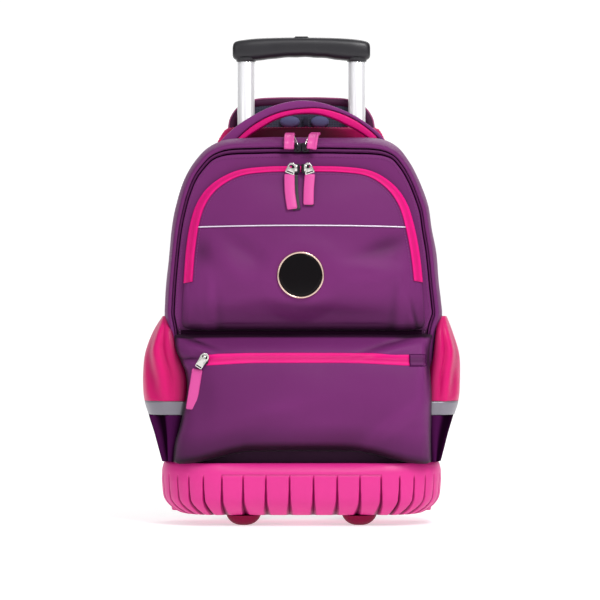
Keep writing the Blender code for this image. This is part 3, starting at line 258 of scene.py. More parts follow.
# Carry handle
HANDLE_Y, HANDLE_APEX, HANDLE_RADIUS = 8.0, 495.0, 128.0
HANDLE_ANGLES = [-54.0, -45.0, -27.0, -14.5, 0.0, 10.0, 19.0, 28.0, 40.0, 46.0, 54.0]
HANDLE_OUTER = [124.5, 124.4, 124.2, 126.2, 128.0, 127.6, 126.6, 126.6, 127.0, 127.6, 127.0]
HANDLE_SEAM = [112.0, 111.6, 114.4, 116.4, 118.2, 120.6, 121.6, 122.4, 122.8, 123.0, 123.0]
HANDLE_INNER = [106.5, 106.2, 106.5, 110.0, 112.3, 113.4, 112.8, 112.4, 114.2, 115.0, 114.5]
HANDLE_HALF_WIDTHS = (11.0, 10.7)
HANDLE_REACHES = (51.0, 46.5)
HANDLE_GAP = 0.08

# Shoulder straps
STRAP_STATIONS = table(Station, [
    (42, 80.8, 460, 48, 4.6), (43, 87.8, 446, 50, 8.0), (49, 93.0, 420, 55, 9.0),
    (64, 98.6, 370, 58, 9.0), (80, 99.5, 315, 57, 9.0), (88, 98.6, 265, 50, 9.0),
    (89, 96.5, 222, 40, 8.5),
])
WEBBING = (20.0, 1.6)
WEBBING_ROUTE = [
    (89.5, 93.4, 203.6), (89.5, 96.6, 202.2), (89.8, 99.4, 199.6), (90.3, 99.4, 194.6), (91.4, 97.2, 186.0),
    (97, 92.6, 160), (103.6, 86.6, 128), (106.6, 81.6, 111), (108.0, 77.2, 103), (108.8, 73.4, 98.6),
]
BUCKLE_LOOP = [
    (89.4, 96.2, 228.0), (89.4, 98.6, 221.0), (89.5, 99.4, 217.0), (89.5, 98.2, 213.6), (89.5, 94.6, 212.4),
]

# Zips: section of a band as share of its width, lift and painted shade, with raised rims that carry painted
# highlight, a deeper coil that carries painted shade, and painted shade at its edges
ZIP_PROFILE = [
    (0.0, 0.3, 0.3), (0.03, 1.3, 0.0), (0.10, 1.75, -0.14), (0.20, 1.5, -0.12), (0.32, 1.1, 0.06),
    (0.42, 1.15, 0.14), (0.5, 1.4, 0.16), (0.58, 1.15, 0.14), (0.68, 1.1, 0.06), (0.80, 1.5, -0.12),
    (0.90, 1.75, -0.14), (0.97, 1.3, 0.0), (1.0, 0.3, 0.3),
]

# Zip pulls
PULL_WIDTH, PULL_THICKNESS = 12.0, 2.8
MAIN_PULLS = {
    "left": [
        (-14.5, -71, 434), (-14.3, -70, 442), (-14, -60, 449.6), (-13.6, -44, 452.6), (-13.4, -34, 453.8),
    ],
    "right": [
        (11.5, -71, 434), (12.5, -70, 442), (13.8, -60, 449.6), (15.4, -44, 452.8), (16.6, -32, 454.4),
    ],
}
UPPER_PULLS = {
    "left": [(-13.9, 405.4), (-13.3, 384), (-10.6, 364.5)],
    "right": [(9.8, 405.4), (8.4, 388), (8.0, 369.5)],
}
# Dark strips behind the pulls, set aside and behind them: painted shadow beside each pull.
PULL_SHADOW_STRIPS = {"upper_pull_left": (5.2, 1.6), "upper_pull_right": (1.6, 1.4), "lower_pull": (2.4, 1.4)}
LOWER_PULL = [(-119.0, 181.5), (-122.8, 158), (-126.4, 135)]
SLIDER_SHIELD = [
    (-5.4, 5.6), (-2.0, 6.8), (0.0, 5.2), (2.0, 6.8), (5.4, 5.6),
    (5.8, 1.5), (4.4, -6.2), (-4.4, -6.2), (-5.8, 1.5),
]
SLIDER_SHIFTS = {
    "main_slider_left": (6.0, 3.4),
    "main_slider_right": (-6.0, 3.4),
    "upper_slider_left": (5.6, 3.0),
    "upper_slider_right": (-4.2, 3.0),
    "lower_slider": (3.0, 0.5),
}
PULLERS = {
    "upper_slider_left": ((-10.9, 413.6), (-13.9, 405.6), 4.7, 5.7),
    "upper_slider_right": ((7.4, 413.6), (9.9, 405.6), 4.7, 5.7),
    "lower_slider": ((-110.6, 195.2), (-118.2, 183.2), 4.9, 4.6),
}

# Studio: glow of the stage, light of the world, and each lamp's place, target, size and power
STAGE_GLOW = 0.54
SKY_LEAST, SKY_FRONT, SKY_TOP = 0.12, 0.50, 0.46
CAMERA_PLACE, CAMERA_LENS = (-0.0017, -3.575, 0.2605), 182.6
STAGE_REACH, STAGE_BEND = 6000.0, 1200.0
STUDIO_LIGHTS = [
    ("key", (1.0, -1.9, 2.8), (0.0, 0.0, 0.28), (0.9, 0.9), 58.0),
    ("fill", (-2.2, -2.4, 1.6), (0.0, 0.0, 0.3), (1.4, 1.4), 6.5),
    ("side", (0.95, -1.15, 1.1), (0.1, 0.0, 0.36), (0.5, 0.5), 2.4),
    ("rear", (0.4, 2.2, 2.2), (0.0, 0.0, 0.3), (1.6, 1.6), 22.0),
]

# Folds narrower than this carry a stronger painted shade in their crease
CREASE_WIDTH = 10.5

# Padding: pressure and frames of the simulation
PAD_PRESSURE, PAD_FRAMES = 4.0, 20

# Badge
BADGE_CENTRE = (-1.0, 289.0)
BADGE_RADIUS, BADGE_RIM = 27.0, 2.4
BADGE_SEAT = (26.0, 56.0)


def linear(red, green, blue):
    """Scene-linear colour from sRGB channels of 0 to 255."""
    shares = [channel / 255 for channel in (red, green, blue)]
    return tuple(s / 12.92 if s <= 0.04045 else ((s + 0.055) / 1.055) ** 2.4 for s in shares)


def tinted(colour, share, lift=0.0):
    """The colour made darker or lighter by a share, with a little lift."""
    return tuple(min(channel * share + lift, 1.0) for channel in colour)


def colour_setting(name, description, *channels):
    """Colour property with its default given as sRGB channels."""
    return FloatVectorProperty(
        name=name, description=description, subtype="COLOR", size=3, min=0.0, max=1.0,
        default=linear(*channels),
    )


def size_setting(name, description, default, least):
    """Length property in metres."""
    return FloatProperty(name=name, description=description, unit="LENGTH", default=default, min=least)


class BackpackColours(bpy.types.PropertyGroup):
    """Colours of the backpack's cloths and mouldings."""

    purple: colour_setting("Purple cloth", "Main cloth of the bag and its pockets", 108, 38, 101)
    dark_purple: colour_setting("Dark purple cloth", "Zip tape, webbing and lower side panels", 72, 20, 70)
    magenta: colour_setting("Magenta cloth", "Side pockets and the band round the tubes", 208, 14, 106)
    zip_tape: colour_setting("Magenta zip tape", "Bands of the pocket zips", 222, 12, 122)
    base: colour_setting("Moulded base", "Ribbed rubber base", 220, 42, 140)
    pull: colour_setting("Pull tabs", "Soft moulded zip pulls", 210, 74, 152)
    navy: colour_setting("Navy mesh", "Padded back and straps", 36, 37, 57)
    crimson: colour_setting("Wheels and feet", "Rubber of the tyres and feet", 130, 6, 56)
    reflective: colour_setting("Reflective tape", "Bands of the side pockets", 132, 127, 138)


class BackpackSizes(bpy.types.PropertyGroup):
    """Sizes of the backpack's cloth and stitching."""

    cloth: size_setting("Cloth", "Thickness of the bag's cloth", 0.0014, 0.0005)
    weave: size_setting("Weave pitch", "Distance between threads", 0.00075, 0.0002)
    stitch: size_setting("Stitch pitch", "Distance between stitches", 0.0036, 0.001)
    ripple: size_setting("Ripple", "Height of the cloth's soft unevenness", 0.0009, 0.0)


class Wire:
    """A shader value that can be used in sums and products."""

    def __init__(self, shader, socket):
        self.shader = shader
        self.socket = socket

    def __add__(self, other):
        return self.shader.math("ADD", self, other)

    def __sub__(self, other):
        return self.shader.math("SUBTRACT", self, other)

    def __rsub__(self, other):
        return self.shader.math("SUBTRACT", other, self)

    def __mul__(self, other):
        return self.shader.math("MULTIPLY", self, other)

    __radd__ = __add__
    __rmul__ = __mul__


class Shader:
    """One material's node tree, with short ways to add to it."""

    def __init__(self, name, owner=None):
        self.material = owner or bpy.data.materials.new(name)
        self.material.use_nodes = True
        self.tree = self.material.node_tree
        self.surface = self.tree.nodes["Background" if owner else "Principled BSDF"]

    def node(self, kind, settings=None, output=0, **values):
        """Adds a node, sets it up, fills its sockets and returns one of its outputs."""
        made = self.tree.nodes.new(kind)
        for key, value in (settings or {}).items():
            setattr(made, key, value)
        for key, value in values.items():
            self.fill(made.inputs[int(key[1:]) if key[1:].isdigit() else key.replace("_", " ")], value)
        return Wire(self, made.outputs[output])

    def fill(self, socket, value):
        """Links a wire to a socket, or sets the socket's own value."""
        if isinstance(value, Wire):
            self.tree.links.new(value.socket, socket)
        else:
            socket.default_value = value

    def math(self, operation, *values):
        """Adds a Math node on values."""
        sockets = {f"i{number}": value for number, value in enumerate(values)}
        return self.node("ShaderNodeMath", {"operation": operation}, **sockets)

    def mix(self, share, first, second):
        """Mixes two colours, each a wire or three numbers."""
        ends = [value if isinstance(value, Wire) else (*value[:3], 1.0) for value in (first, second)]
        return self.node("ShaderNodeMix", {"data_type": "RGBA"}, output=2, i0=share, i6=ends[0], i7=ends[1])

    def place(self, output=3):
        """The point's position on the object, in metres, or for output 0 the direction in the sky."""
        return self.node("ShaderNodeTexCoord", output=output)

    def turned(self, vector, direction):
        """Length of a vector along a direction."""
        settings = {"operation": "DOT_PRODUCT"}
        return self.node("ShaderNodeVectorMath", settings, output=1, i0=vector, i1=direction)

    def noise(self, scale, detail=2.0, vector=None):
        """Soft noise from 0 to 1."""
        return self.node("ShaderNodeTexNoise", i0=vector or self.place(), Scale=scale, Detail=detail)

    def bump(self, height, distance):
        """Relief from a height."""
        return self.node("ShaderNodeBump", Strength=1.0, Distance=distance, Height=height)

    def attribute(self, name):
        """A value that the mesh carries."""
        return self.node("ShaderNodeAttribute", {"attribute_name": name}, output=2)

    def with_painted_shade(self, tone):
        """Darkens a colour by the painted shade that the mesh carries, as deep in a crease, and lightens it a
        little where that shade is below zero, as painted light.
        """
        keep = 1.0 - self.attribute("shade") * 0.9
        return self.node("ShaderNodeVectorMath", {"operation": "SCALE"}, i0=tone, Scale=keep)

    def finish(self, **values):
        """Sets the surface's sockets and returns the material."""
        for key, value in values.items():
            if key == "Base_Color" and not isinstance(value, Wire):
                value = (*value[:3], 1.0)
            self.fill(self.surface.inputs[key.replace("_", " ")], value)
        return self.material


def weave(shader, pitch):
    """Height of a plain weave that runs over surfaces of any direction."""
    place = shader.place()
    turns = 2 * math.pi / pitch
    across = shader.math("SINE", shader.turned(place, (1.0, 1.0, 0.0)) * turns)
    along = shader.math("SINE", shader.turned(place, (0.15, 0.55, 1.0)) * turns)
    return across * along


def cloth_finish(name, colour, roughness=0.5, sheen=0.03, relief=0.00004, gleam=0.18):
    """Coated woven cloth."""
    shader = Shader(name)
    broad, fine = shader.noise(14.0, 3.0), shader.noise(900.0, 2.0)
    threads = weave(shader, bpy.context.scene.backpack_sizes.weave)
    tone = shader.mix(broad * 0.7 + fine * 0.3, tinted(colour, 0.872), tinted(colour, 1.08))
    return shader.finish(
        Base_Color=shader.with_painted_shade(tone),
        Roughness=broad * 0.12 + (roughness - 0.06),
        Specular_IOR_Level=gleam,
        Sheen_Weight=sheen,
        Sheen_Roughness=0.4,
        Normal=shader.bump(threads * 0.5 + fine * 0.6, relief),
    )


def mesh_finish(name, colour):
    """Padded air mesh with small round holes."""
    shader = Shader(name)
    place = shader.place()
    cells = shader.node("ShaderNodeTexVoronoi", {"feature": "F1"}, i0=place, Scale=330.0, Randomness=0.12)
    hole = shader.math("SMOOTH_MIN", cells * 1.9, 1.0, 0.3)
    fuzz = shader.noise(1400.0, 2.0)
    tone = shader.mix(hole * 0.75 + fuzz * 0.25, tinted(colour, 0.32), tinted(colour, 1.5, 0.004))
    return shader.finish(
        Base_Color=shader.with_painted_shade(tone),
        Roughness=0.85,
        Sheen_Weight=0.08,
        Sheen_Roughness=0.5,
        Normal=shader.bump(hole * 0.8 + fuzz * 0.2, 0.0006),
    )


def rubber_finish(name, colour, roughness=0.42, gleam=0.35):
    """Satin moulded rubber or soft plastic."""
    shader = Shader(name)
    broad, grain = shader.noise(22.0, 3.0), shader.noise(2200.0, 2.0)
    return shader.finish(
        Base_Color=shader.with_painted_shade(shader.mix(broad, tinted(colour, 0.95), tinted(colour, 1.05))),
        Roughness=broad * 0.14 + (roughness - 0.07),
        Specular_IOR_Level=gleam,
        Normal=shader.bump(grain, 0.00006),
    )


def tape_finish(name, colour, roughness=0.42):
    """Woven zip tape with a coated face and fine cross ribs."""
    shader = Shader(name)
    ribs = shader.math("SINE", shader.attribute("along") * (2 * math.pi / 1.3))
    broad = shader.noise(18.0, 2.0)
    tone = shader.mix(broad * 0.8 + ribs * 0.1, tinted(colour, 0.86), tinted(colour, 1.08))
    return shader.finish(
        Base_Color=shader.with_painted_shade(tone),
        Roughness=broad * 0.1 + (roughness - 0.05),
        Specular_IOR_Level=0.18,
        Normal=shader.bump(ribs + shader.noise(900.0) * 0.5, 0.00005),
    )


def reflective_finish(name, colour):
    """Glass-bead reflective tape."""
    shader = Shader(name)
    beads, broad = shader.noise(1600.0, 1.0), shader.noise(30.0, 3.0)
    return shader.finish(
        Base_Color=shader.mix(broad * 0.7 + beads * 0.3, tinted(colour, 0.82), tinted(colour, 1.15)),
        Roughness=broad * 0.1 + 0.32,
        Metallic=0.25,
        Normal=shader.bump(beads, 0.00003),
    )


def metal_finish(name, colour, roughness, metallic=1.0):
    """Polished metal with faint drawing lines along Z."""
    shader = Shader(name)
    stretch = (1400.0, 1400.0, 6.0)
    drawn = shader.node("ShaderNodeVectorMath", {"operation": "MULTIPLY"}, i0=shader.place(), i1=stretch)
    lines = shader.noise(1.0, 3.0, drawn)
    return shader.finish(
        Base_Color=colour,
        Metallic=metallic,
        Roughness=lines * 0.06 + (roughness - 0.03),
        Normal=shader.bump(lines, 0.00001),
    )


def plastic_finish(name, colour):
    """Fine-grained moulded plastic."""
    shader = Shader(name)
    grain, wear_and_painted_shade = shader.noise(1500.0, 3.0), shader.noise(40.0, 4.0)
    return shader.finish(
        Base_Color=shader.mix(wear_and_painted_shade * 0.5 + grain * 0.2, colour, tinted(colour, 1.5, 0.006)),
        Roughness=wear_and_painted_shade * 0.2 + 0.28,
        Normal=shader.bump(grain, 0.00005),
    )


def plain_finish(name, colour, **values):
    """Even surface, such as enamel or a stage."""
    return Shader(name).finish(Base_Color=colour, **values)


def finish(name):
    """The named material, made from the colour settings the first time it is asked for."""
    found = bpy.data.materials.get(f"look_{name}")
    if found:
        return found
    hues = bpy.context.scene.backpack_colours
    thread = {"sheen": 0.1, "relief": 0.00002}
    matt = {"Roughness": 0.9, "Specular_IOR_Level": 0.05}
    glossy = {"Roughness": 0.14, "Specular_IOR_Level": 0.14}
    make, colour, values = {
        "purple_nylon": (cloth_finish, hues.purple, {"gleam": 0.14}),
        # A lighter copy of the purple cloth for the handle: painted light, as if light fell on its top.
        "handle_padding": (cloth_finish, tinted(hues.purple, 1.35), {"sheen": 0.06}),
        "dark_purple_nylon": (cloth_finish, hues.dark_purple, {"roughness": 0.6, "sheen": 0.0, "gleam": 0.0}),
        "yoke_padding": (cloth_finish, tinted(hues.navy, 4.6), {"roughness": 0.6, "sheen": 0.1}),
        "plum_binding": (cloth_finish, linear(70, 26, 60), {"roughness": 0.6}),
        "magenta_nylon": (cloth_finish, hues.magenta, {"roughness": 0.36, "sheen": 0.01, "gleam": 0.2}),
        "navy_binding": (cloth_finish, tinted(hues.navy, 0.8), {"roughness": 0.6, "sheen": 0.2}),
        "maroon_piping": (cloth_finish, linear(158, 76, 122), {}),
        "purple_thread": (cloth_finish, tinted(hues.purple, 1.2, 0.01), thread),
        "magenta_thread": (cloth_finish, hues.zip_tape, thread),
        "navy_thread": (cloth_finish, tinted(hues.navy, 2.5), thread),
        "magenta_zip_tape": (tape_finish, hues.zip_tape, {}),
        "purple_zip_tape": (tape_finish, tinted(hues.purple, 0.75), {"roughness": 0.55}),
        "navy_mesh": (mesh_finish, hues.navy, {}),
        "pink_rubber": (rubber_finish, hues.base, {"gleam": 0.45}),
        "pink_pull_tab": (rubber_finish, hues.pull, {"roughness": 0.36}),
        "crimson_tyre": (rubber_finish, hues.crimson, {"roughness": 0.5, "gleam": 0.1}),
        "reflective_grey": (reflective_finish, hues.reflective, {}),
        "reflective_piping": (reflective_finish, linear(232, 220, 238), {}),
        "seam_shadow": (plain_finish, tinted(hues.purple, 0.1), matt),
        "black_enamel": (plain_finish, linear(8, 4, 7), glossy),
        "black_plastic": (plastic_finish, linear(22, 20, 26), {}),
        "gunmetal": (metal_finish, linear(52, 48, 55), {"roughness": 0.34}),
        "pale_gold": (metal_finish, linear(236, 206, 190), {"roughness": 0.22}),
        "polished_aluminium": (metal_finish, linear(246, 246, 249), {"roughness": 0.24, "metallic": 0.4}),
        "bright_steel": (metal_finish, linear(214, 212, 208), {"roughness": 0.2}),
    }[name]
    return make(f"look_{name}", colour, **values)


def smooth_curve(points, closed=False, steps=10):
    """Centripetal curve through the points, with the given steps from each to the next."""
    control = np.asarray(points, float)
    if closed:
        control = np.vstack([control[-1], control, control[:2]])
    else:
        control = np.vstack([2 * control[0] - control[1], control, 2 * control[-1] - control[-2]])
    curve = []
    for before, start, end, after in zip(control, control[1:], control[2:], control[3:]):
        pairs = ((before, start), (start, end), (end, after))
        spans = [max(math.sqrt(math.dist(a, b)), 1e-6) for a, b in pairs]
        k0, k1, k2, k3 = np.cumsum([0.0] + spans)
        for t in np.linspace(k1, k2, steps, endpoint=False):
            a = between(before, start, k0, k1, t)
            b = between(start, end, k1, k2, t)
            c = between(end, after, k2, k3, t)
            curve.append(between(between(a, b, k0, k2, t), between(b, c, k1, k3, t), k1, k2, t))
    if not closed:
        curve.append(control[-2])
    return np.array(curve)


def between(first, last, start, end, t):
    """The mix of two points for t between start and end."""
    return (first * (end - t) + last * (t - start)) / (end - start)


def resample(curve, count, closed=False):
    """The curve's points again, evenly spaced along it."""
    line = np.vstack([curve, curve[:1]]) if closed else np.asarray(curve, float)
    travelled = lengths(line)
    places = np.linspace(0.0, travelled[-1], count, endpoint=not closed)
    return np.stack([np.interp(places, travelled, column) for column in line.T], axis=1)


def lengths(line):
    """Distance travelled along a line at each of its points."""
    return np.concatenate([[0.0], np.cumsum(np.linalg.norm(np.diff(line, axis=0), axis=1))])


def mirrored(half):
    """A profile of radius and height, closed with its mirror image."""
    return half + [(radius, -height) for radius, height in reversed(half)]


def ring_turns(count):
    """Angles of evenly spaced points round a circle."""
    return np.linspace(0, 2 * math.pi, count, endpoint=False)


def outline(sections, floor, crown, count=260):
    """Closed outline in x and z, from the middle of the floor up the right side and round."""
    right = [(row.right, row.z) for row in sections]
    left = [(-row.left, row.z) for row in reversed(sections)]
    curve = smooth_curve([(0.0, floor), *right, (0.0, crown), *left], closed=True)
    return resample(curve, count, closed=True)


def outward(loop):
    """Directions that point out of a closed outline."""
    tangent = np.roll(loop, -1, axis=0) - np.roll(loop, 1, axis=0)
    tangent /= np.linalg.norm(tangent, axis=1, keepdims=True)
    return np.stack([tangent[:, 1], -tangent[:, 0]], axis=1)


def inset(loop, distance):
    """The outline moved inward by a distance, or by one distance for each point."""
    return loop - outward(loop) * np.reshape(distance, (-1, 1))


def upright(loop, y):
    """An x, z outline placed at a depth, which may differ from point to point."""
    return np.stack([loop[:, 0], np.broadcast_to(y, len(loop)), loop[:, 1]], axis=1)


def fold_depth(folds, x, z):
    """How far the cloth sinks at places, from all the folds of its face."""
    total = np.zeros(np.broadcast(x, z).shape)
    for fold in folds:
        turn = math.radians(fold.angle)
        along = (x - fold.x) * math.cos(turn) + (z - fold.z) * math.sin(turn)
        aside = (z - fold.z) * math.cos(turn) - (x - fold.x) * math.sin(turn)
        total += fold.depth * np.exp(-((along / fold.length) ** 2) - (aside / fold.width) ** 2)
    return total


def creases(folds, x, z):
    """Painted shade down in the folds of a face, and a little painted light on their crests."""
    narrow = [fold for fold in folds if min(fold.length, fold.width) < CREASE_WIDTH]
    broad = [fold for fold in folds if fold not in narrow]
    return np.clip(fold_depth(narrow, x, z) * 0.11 + fold_depth(broad, x, z) * 0.02, -0.12, 0.6)


def ripples(points, reach, seed=0.0):
    """Soft uneven height from -1 to 1 at each point."""
    flat = np.asarray(points).reshape(-1, 3) / reach + seed
    values = np.array([noise.noise(Vector(point)) for point in flat])
    return values.reshape(np.asarray(points).shape[:-1])


def cloth_ripple(x, z, seed):
    """Height of the soft unevenness of a pocket's face."""
    flat = np.stack([x, np.full_like(x, 7.0 * seed), z], axis=-1)
    return (ripples(flat, 46.0, seed) * 1.5 + ripples(flat, 19.0, seed + 4) * 0.3) * ripple_height()


def closed_row(*rows):
    """Rows of points, each with its first point again at its end."""
    return [np.vstack([row, row[:1]]) for row in rows]


def surface_normals(grid, around=False):
    """Unit normals of a grid of points."""
    if around:
        padded = np.concatenate([grid[:, -1:], grid, grid[:, :1]], axis=1)
        sideways = (padded[:, 2:] - padded[:, :-2]) / 2
    else:
        sideways = np.gradient(grid, axis=1)
    upward = np.gradient(grid, axis=0)
    normals = np.cross(upward, sideways)
    return normals / np.maximum(np.linalg.norm(normals, axis=2, keepdims=True), 1e-9)


class Form:
    """Points and faces of one piece, gathered from several parts, in millimetres."""

    def __init__(self):
        self.points = []
        self.faces = []
        self.slots = []
        self.values = {"along": [], "shade": []}

    def add(self, points, faces, slot=0, **values):
        """Adds a part with faces numbered from its own first point, and what its points carry."""
        start = len(self.points)
        flat = np.asarray(points, float).reshape(-1, 3)
        self.points.extend(flat)
        self.faces.extend(tuple(start + index for index in face) for face in faces)
        self.slots.extend([slot] * len(faces))
        for key, held in self.values.items():
            held.extend(np.reshape(values.get(key, np.zeros(len(flat))), -1))

    def grid(self, grid, around=False, slot=0, **values):
        """Adds an open surface through a grid of points."""
        rows, columns = grid.shape[:2]
        faces = []
        for row in range(rows - 1):
            for column in range(columns if around else columns - 1):
                here, there = row * columns + column, row * columns + (column + 1) % columns
                faces.append((here, there, there + columns, here + columns))
        self.add(grid, faces, slot, **values)

    def cloth(self, grid, thickness, around=False, slot=0, slots=None, **values):
        """Adds a wall of cloth whose outer face is the grid. The wall lies on the side of its normals."""
        rows, columns = grid.shape[:2]
        behind = grid + surface_normals(grid, around) * thickness
        count = rows * columns
        span = columns if around else columns - 1
        faces, kinds = [], []
        for row in range(rows - 1):
            for column in range(span):
                here, there = row * columns + column, row * columns + (column + 1) % columns
                quad = (here, there, there + columns, here + columns)
                faces += [quad, tuple(count + index for index in reversed(quad))]
                kinds += [slot if slots is None else slots[row]] * 2
        rims = [
            (row * columns + column, row * columns + (column + 1) % columns, row > 0)
            for row in (0, rows - 1) for column in range(span)
        ]
        if not around:
            rims += [
                (row * columns + column, (row + 1) * columns + column, column == 0)
                for column in (0, columns - 1) for row in range(rows - 1)
            ]
        for here, there, ahead in rims:
            quad = (here, there, count + there, count + here)
            faces.append(quad if ahead else (there, here, count + here, count + there))
        start = len(self.faces)
        twice = {key: np.concatenate([np.reshape(value, -1)] * 2) for key, value in values.items()}
        self.add(np.concatenate([grid.reshape(-1, 3), behind.reshape(-1, 3)]), faces, slot, **twice)
        self.slots[start:] = kinds + [slot] * len(rims)

    def loft(self, rings, closed=False, slot=0, along=None):
        """Adds a solid through closed rings, capped at its ends or closed on itself."""
        rings = np.asarray(rings, float)
        count, size = rings.shape[:2]
        faces = []
        for low in range(count if closed else count - 1):
            high = (low + 1) % count
            for at in range(size):
                after = (at + 1) % size
                faces.append((low * size + at, low * size + after, high * size + after, high * size + at))
        if not closed:
            faces.append(tuple(reversed(range(size))))
            faces.append(tuple((count - 1) * size + at for at in range(size)))
        self.add(rings, faces, slot, **({} if along is None else {"along": np.repeat(along, size)}))

    def sweep(self, path, across, section, slot=0, closed=False):
        """Adds a bar along a path. The section's points lie along the across direction and the normal."""
        path = np.asarray(path, float)
        if closed:
            tangents = np.roll(path, -1, axis=0) - np.roll(path, 1, axis=0)
        else:
            tangents = np.gradient(path, axis=0)
        tangents /= np.linalg.norm(tangents, axis=1, keepdims=True)
        across = np.broadcast_to(np.asarray(across, float), path.shape)
        across = across - tangents * np.sum(across * tangents, axis=1, keepdims=True)
        across = across / np.linalg.norm(across, axis=1, keepdims=True)
        normals = np.cross(tangents, across)
        sections = section if callable(section) else lambda index: section
        rings = [[path[i] + a * across[i] + b * normals[i] for a, b in sections(i)] for i in range(len(path))]
        self.loft(rings, closed=closed, slot=slot, along=lengths(path))

    def cord(self, path, radius, sides=8, slot=0, closed=False, across=(0.0, 0.0, 1.0)):
        """Adds a round cord along a path."""
        section = [(radius * math.cos(a), radius * math.sin(a)) for a in ring_turns(sides)]
        self.sweep(path, across, section, slot=slot, closed=closed)

    def lathe(self, profile, centre, axis, steps, slot=0, closed=True):
        """Adds a solid turned round an axis. The profile holds radius and height."""
        along = np.eye(3)["XYZ".index(axis)]
        side = np.eye(3)[("XYZ".index(axis) + 1) % 3]
        up = np.cross(along, side)
        angles = [(step + 0.5) * 2 * math.pi / steps for step in range(steps)]
        rings = [
            [np.array(centre) + along * h + r * (math.cos(a) * side + math.sin(a) * up) for a in angles]
            for r, h in profile
            if r > 0
        ]
        self.loft(rings, closed=closed, slot=slot)

    def block(self, centre, size, ease):
        """Adds a small block with eased edges."""
        shape = bmesh.new()
        bmesh.ops.create_cube(shape, size=1.0)
        bmesh.ops.scale(shape, vec=size, verts=shape.verts)
        bmesh.ops.bevel(shape, geom=shape.edges[:], offset=ease, segments=2, affect="EDGES")
        bmesh.ops.translate(shape, vec=centre, verts=shape.verts)
        shape.verts.index_update()
        faces = [tuple(vert.index for vert in face.verts) for face in shape.faces]
        self.add([tuple(vert.co) for vert in shape.verts], faces)
        shape.free()

    def stitches(self, path, normal, slot=0, radius=0.34, share=0.74):
        """Adds a row of stitches along a path, raised along the normal. Each fills a share of the pitch."""
        pitch = bpy.context.scene.backpack_sizes.stitch / MM
        path = np.asarray(path, float)
        normal = np.broadcast_to(np.asarray(normal, float), path.shape)
        travelled = lengths(path)
        count = int(travelled[-1] // pitch)
        turns = ring_turns(6)
        for number in range(count):
            start = number * pitch
            places = start + np.array([0.02, 0.2, 0.5, 0.54 + share * 0.2, share]) * pitch
            centre = np.stack([np.interp(places, travelled, path[:, k]) for k in range(3)], axis=1)
            lift = np.stack([np.interp(places, travelled, normal[:, k]) for k in range(3)], axis=1)
            ahead = centre[-1] - centre[0]
            ahead /= max(np.linalg.norm(ahead), 1e-9)
            side = np.cross(ahead, lift[2])
            side /= max(np.linalg.norm(side), 1e-9)
            up = np.cross(side, ahead)
            up *= math.copysign(1.0, float(np.dot(up, lift[2])))
            rings = []
            for point, size, rise in zip(centre, (0.45, 0.9, 1.0, 0.9, 0.45), (-0.4, 0.1, 0.35, 0.1, -0.4)):
                middle = point + up * rise * radius
                reach = radius * size
                rings.append([middle + reach * (math.cos(a) * side + math.sin(a) * up) for a in turns])
            self.loft(rings, slot=slot)

    def piece(self, name, *finishes, nodes=(), body="bag", slot=None, sharp=None, merge=0.002):
        """Makes the object, which rides on a body and stands for the given nodes."""
        mesh = bpy.data.meshes.new(name)
        mesh.from_pydata([tuple(point) for point in np.array(self.points) * MM], [], self.faces)
        mesh.polygons.foreach_set("material_index", self.slots)
        for key, held in self.values.items():
            mesh.attributes.new(key, "FLOAT", "POINT").data.foreach_set("value", np.array(held, np.float32))
        shape = bmesh.new()
        shape.from_mesh(mesh)
        bmesh.ops.remove_doubles(shape, verts=shape.verts, dist=merge * MM)
        bmesh.ops.recalc_face_normals(shape, faces=shape.faces)
        shape.to_mesh(mesh)
        shape.free()
        mesh.shade_smooth()
        if sharp:
            mesh.set_sharp_from_angle(angle=math.radians(sharp))
        for each in finishes:
            mesh.materials.append(finish(each))
        made = bpy.data.objects.new(name, mesh)
        bpy.context.scene.collection.objects.link(made)
        return dress(made, body, nodes)


def eased(node, name, slot, width):
    """Copy of a rigid solid with eased edges, which stands in for it."""
    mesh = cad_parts[node].data.copy()
    mesh.materials.clear()
    mesh.materials.append(finish(slot))
    mesh.attributes.new("shade", "FLOAT", "POINT")
    made = bpy.data.objects.new(name, mesh)
    bpy.context.scene.collection.objects.link(made)
    bevel = made.modifiers.new("eased_edges", "BEVEL")
    bevel.width, bevel.segments, bevel.limit_method = width * MM, 3, "ANGLE"
    settle(made)
    made.data.shade_smooth()
    made.data.set_sharp_from_angle(angle=math.radians(50))
    return dress(made, "bag", [node])


def puffed(made, cap, least_y=None, voxel=4.0):
    """Swells a closed padded piece by cloth simulation, with no point moving further than the cap."""
    scene = bpy.context.scene
    even = made.modifiers.new("even_mesh", "REMESH")
    even.mode, even.voxel_size = "VOXEL", voxel * MM
    settle(made)
    start = points_of(made)
    cloth = made.modifiers.new("swelling", "CLOTH")
    cloth.settings.use_pressure = True
    cloth.settings.uniform_pressure_force = PAD_PRESSURE
    cloth.settings.effector_weights.gravity = 0.0
    cloth.point_cache.frame_start, cloth.point_cache.frame_end = 1, PAD_FRAMES
    for number in range(1, PAD_FRAMES + 1):
        scene.frame_set(number)
    settle(made)
    move = points_of(made) - start
    size = np.linalg.norm(move, axis=1, keepdims=True)
    end = start + move * np.minimum(1.0, cap * MM / np.maximum(size, 1e-9))
    if least_y is not None:
        end[:, 1] = np.maximum(end[:, 1], least_y * MM)
    made.data.vertices.foreach_set("co", end.reshape(-1))
    fine = made.modifiers.new("fine_mesh", "SUBSURF")
    fine.levels = fine.render_levels = 1
    settle(made)
    scene.frame_set(1)
    made.data.shade_smooth()


def points_of(made):
    """Places of a mesh's points, in metres."""
    places = np.empty(len(made.data.vertices) * 3, np.float32)
    made.data.vertices.foreach_get("co", places)
    return places.reshape(-1, 3)


